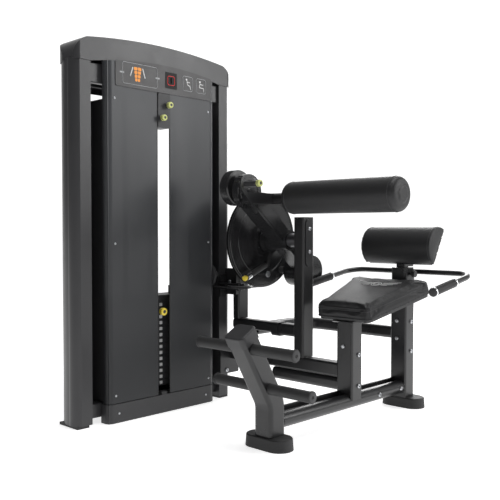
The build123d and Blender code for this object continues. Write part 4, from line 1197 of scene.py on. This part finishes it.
@dataclass
class SeatFrame:
    """Posts, beams, handles, foot rods and feet."""

    bead: float = 0.0022
    handle_slope: float = 9.6
    grip_radius: float = 0.016

    def build(self) -> None:
        """Dresses the frame and adds welds, grip rings and end discs."""
        Shade.FRAME.on("lower_beams", "mid_beam", "link_tube", "pivot_post", "far_post", "bolt_plates",
                       "front_post", "base_tube", "seat_post_front", "seat_post_rear", "seat_bracket",
                       "lumbar_bracket", "lumbar_stem", "handle_bar")
        Shade.MOULDED.on("front_post_cap", "lumbar_knob")
        Shade.RUBBER.on("foot_rods", "floor_feet")
        Shade.GRIP.on("grips")
        Shade.ZINC.on("frame_bolts")
        self.welds()
        self.grip_trim()
        self.rod_ends()
        self.feet()

    def welds(self) -> None:
        """Rippled weld beads where tubes meet."""
        beads = Piece("weld_beads", "frame", Shade.FRAME, "frame_black")
        base_low, base_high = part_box("base_tube")
        tube = Vector((0, base_low.y + 0.028, base_low.z + 0.028))
        reach = 0.0285
        angles = [2 * math.pi * i / 48 for i in range(48)]
        circle = [(reach * math.cos(angle), reach * math.sin(angle)) for angle in angles]
        for x in (base_low.x + 0.001, base_high.x - 0.001):
            self.ripple(beads, ring_points(Vector((x, tube.y, tube.z)), Y, Z, circle))
        low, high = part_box("pivot_post")
        self.ripple(beads, ring_points(Vector(((low.x + high.x) / 2, (low.y + high.y) / 2, low.z)), X, Y,
                                       rounded(0.054, 0.053, 0.014)))
        low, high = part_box("mid_beam")
        for y, width, height in ((low.y, 0.058, 0.052), (high.y, 0.048, 0.044)):
            self.ripple(beads, ring_points(Vector(((low.x + high.x) / 2, y, high.z - 0.026)), X, Z,
                                           rounded(width, height, 0.013)))
        low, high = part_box("link_tube")
        self.ripple(beads, ring_points(Vector((high.x - 0.026, low.y, (low.z + high.z) / 2)), X, Z,
                                       rounded(0.053, 0.053, 0.016)))
        low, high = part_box("lower_beams")
        self.ripple(beads, ring_points(Vector(((low.x + high.x) / 2, low.y, high.z - 0.028)), X, Z,
                                       rounded(0.055, 0.057, 0.014)))
        beads.finished()

    def ripple(self, piece: Piece, line: list[Vector]) -> None:
        """Adds one closed bead whose width ripples like a hand-laid weld.

        Args:
            piece: piece that takes the bead.
            line: closed line of points.
        """
        moved = [p + noise.noise_vector(p * 900.0) * 0.0003 for p in line]
        piece.rope(moved, self.bead, 8, True)

    def grip_trim(self) -> None:
        """Bright rings at both ends of each grip, ribs between them and a domed end plug."""
        low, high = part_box("grips")
        slope = math.radians(self.handle_slope)
        along = Vector((math.cos(slope), 0, math.sin(slope)))
        rings = Piece("grip_rings", "frame", Shade.RINGS, "chrome")
        ribs = Piece("grip_ribs", "frame", Shade.GRIP, "rubber")
        plugs = Piece("grip_plugs", "frame", Shade.MOULDED, "moulded_black")
        tip_x = low.x + self.grip_radius * math.sin(slope)
        tip_z = low.z + self.grip_radius * math.cos(slope) + 0.0006
        for y in (low.y + self.grip_radius + 0.0015, high.y - self.grip_radius - 0.0015):
            tip = Vector((tip_x, y, tip_z))
            for offset, radius in ((0.0060, 0.0175), (0.1600, 0.0170)):
                rings.turned(tip, along,
                             [(offset - 0.0006, 0.0150), (offset - 0.0006, radius + 0.0004),
                              (offset + 0.0015, radius + 0.0010), (offset + 0.0055, radius + 0.0010),
                              (offset + 0.0076, radius + 0.0004), (offset + 0.0076, 0.0150)], 48)
            for i in range(22):
                offset = 0.020 + i * 0.0062
                ribs.turned(tip, along, [(offset, 0.0156), (offset + 0.0008, 0.0166),
                                         (offset + 0.0026, 0.0166), (offset + 0.0034, 0.0156)], 40)
            plugs.turned(tip + along * 0.0006, -along, [(-0.004, 0.0158), (0.0, 0.0152), (0.0012, 0.0130),
                                                        (0.0016, 0.008), (0.0016, 0.0)], 40)
        rings.finished()
        ribs.finished()
        plugs.finished()

    def rod_ends(self) -> None:
        """Moulded discs on the foot rods' ends, each with a near-black dot in its recessed centre that is
        painted shade standing in for a hole.
        """
        low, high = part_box("foot_rods")
        radius = 0.019
        discs = Piece("foot_rod_discs", "frame", Shade.MOULDED, "moulded_black")
        # the near-black dots are painted shade for a hole in each disc's recessed centre
        hole_shade_dots = Piece("foot_rod_hole_shade", "frame", Shade.HOLE, "moulded_black")
        inset = radius + 0.002
        for x, z in ((low.x + inset, high.z - inset), (high.x - inset, low.z + inset)):
            for y, out in ((low.y, -Y), (high.y, Y)):
                centre = Vector((x, y, z)) - out * 0.0006
                discs.turned(centre, out, [(0.0, radius - 0.001), (0.0012, radius - 0.0015),
                                           (0.0018, radius - 0.004), (0.0018, 0.006), (0.0006, 0.0055),
                                           (0.0006, 0.0)], 48)
                hole_shade_dots.turned(centre, out, [(0.0007, 0.0052), (0.0012, 0.0046), (0.0014, 0.0)], 24)
        discs.finished()
        hole_shade_dots.finished()

    def feet(self) -> None:
        """Weld bead round the two posts that stand on the rubber feet."""
        line = Piece("foot_flanges", "frame", Shade.FRAME, "frame_black")
        for node, width, depth in (("front_post", 0.066, 0.072), ("seat_post_rear", 0.066, 0.072)):
            a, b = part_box(node)
            x = b.x - 0.033 if node == "front_post" else (a.x + b.x) / 2
            centre = Vector((x, (a.y + b.y) / 2, a.z))
            self.ripple(line, ring_points(centre, X, Y, rounded(width, depth, 0.024)))
        line.finished()


# Studio ---------------------------------------------------------------------------------------------------


@dataclass
class Studio:
    """Pale floor, soft lights and the camera."""

    lens: float = 53.09
    place: Vector = field(default_factory=lambda: Vector((-2.14961, -1.95255, 0.7556)))
    heading: float = 46.03
    pitch: float = 1.635

    def build(self) -> None:
        """Makes the whole studio."""
        self.camera()
        self.floor()
        self.sky()
        self.softbox("key_softbox", Vector((3.4, -4.2, 2.6)), Vector((0.1, -0.2, 0.7)), 2.0, 2.4, 95.0)
        self.softbox("top_softbox", Vector((0.2, -0.8, 4.2)), Vector((0.0, 0.0, 0.6)), 2.6, 1.6, 60.0)
        self.softbox("rim_softbox", Vector((3.6, 1.4, 2.2)), Vector((0.2, -0.2, 0.7)), 1.6, 2.4, 60.0)

    def camera(self) -> None:
        """Camera at the customer's eye, level with the arm."""
        data = bpy.data.cameras.new("view")
        data.lens = self.lens
        data.sensor_width = 36.0
        data.clip_start = 0.05
        thing = bpy.data.objects.new("view", data)
        thing.location = self.place
        heading, pitch = math.radians(self.heading), math.radians(self.pitch)
        forward = Vector((math.sin(heading) * math.cos(pitch), math.cos(heading) * math.cos(pitch),
                          -math.sin(pitch)))
        thing.rotation_mode = "QUATERNION"
        thing.rotation_quaternion = forward.to_track_quat("-Z", "Y")
        bpy.context.scene.collection.objects.link(thing)
        bpy.context.scene.camera = thing

    def floor(self) -> None:
        """Wide pale floor."""
        data = bpy.data.meshes.new("floor")
        data.from_pydata([(-60, -60, 0), (60, -60, 0), (60, 60, 0), (-60, 60, 0)], [], [(0, 1, 2, 3)])
        thing = bpy.data.objects.new("floor", data)
        bpy.context.scene.collection.objects.link(thing)
        made = bpy.data.materials.new("studio_floor")
        graph = Graph(made)
        tone = graph.mix(graph.noise(2.0, 3.0), (0.84, 0.84, 0.84), (0.88, 0.88, 0.88))
        graph.surface({"Base Color": tone, "Roughness": 0.8, "Specular IOR Level": 0.1,
                       "Emission Color": (1.0, 1.0, 1.0, 1.0), "Emission Strength": 0.72})
        data.materials.append(made)

    def sky(self) -> None:
        """White surroundings behind the machine, dim ones on the camera's side."""
        world = bpy.data.worlds.new("studio")
        bpy.context.scene.world = world
        graph = Graph(world)
        direction = graph.add("ShaderNodeTexCoord", output="Generated")
        side = graph.add("ShaderNodeSeparateXYZ", {}, {0: direction}, "X")
        up = graph.add("ShaderNodeSeparateXYZ", {}, {0: direction}, "Z")
        ahead = graph.add("ShaderNodeSeparateXYZ", {}, {0: direction}, "Y")
        toward = side * 0.72 + ahead * 0.694
        level = ((toward - 0.55) * 3.2).clamped()
        glow = level * 1.05 + (up * 0.35).clamped() + ((side * 0.8) - (ahead * 0.3)).clamped() * 0.22 + 0.02
        background = graph.add("ShaderNodeBackground", {}, {"Color": (1.0, 1.0, 1.0, 1.0), "Strength": glow})
        graph.add("ShaderNodeOutputWorld", {}, {"Surface": background})

    def softbox(self, name: str, place: Vector, target: Vector, width: float, height: float,
                power: float) -> None:
        """Adds one soft rectangular light.

        Args:
            name: its name.
            place: where it stands.
            target: what it points at.
            width: its width in metres.
            height: its height in metres.
            power: its power in watts.
        """
        data = bpy.data.lights.new(name, "AREA")
        data.shape = "RECTANGLE"
        data.size = width
        data.size_y = height
        data.energy = power
        thing = bpy.data.objects.new(name, data)
        thing.location = place
        thing.rotation_mode = "QUATERNION"
        thing.rotation_quaternion = (target - place).to_track_quat("-Z", "Y")
        bpy.context.scene.collection.objects.link(thing)


def main() -> None:
    """Builds the machine's looks in order."""
    logging.basicConfig(level=logging.INFO, format="%(name)s %(message)s")
    bpy.context.scene.view_settings.view_transform = "Standard"
    Studio().build()
    Tower().build()
    Stack().build()
    SwingArm().build()
    SeatFrame().build()
    Upholstery().build()


if __name__ == "__main__":
    main()
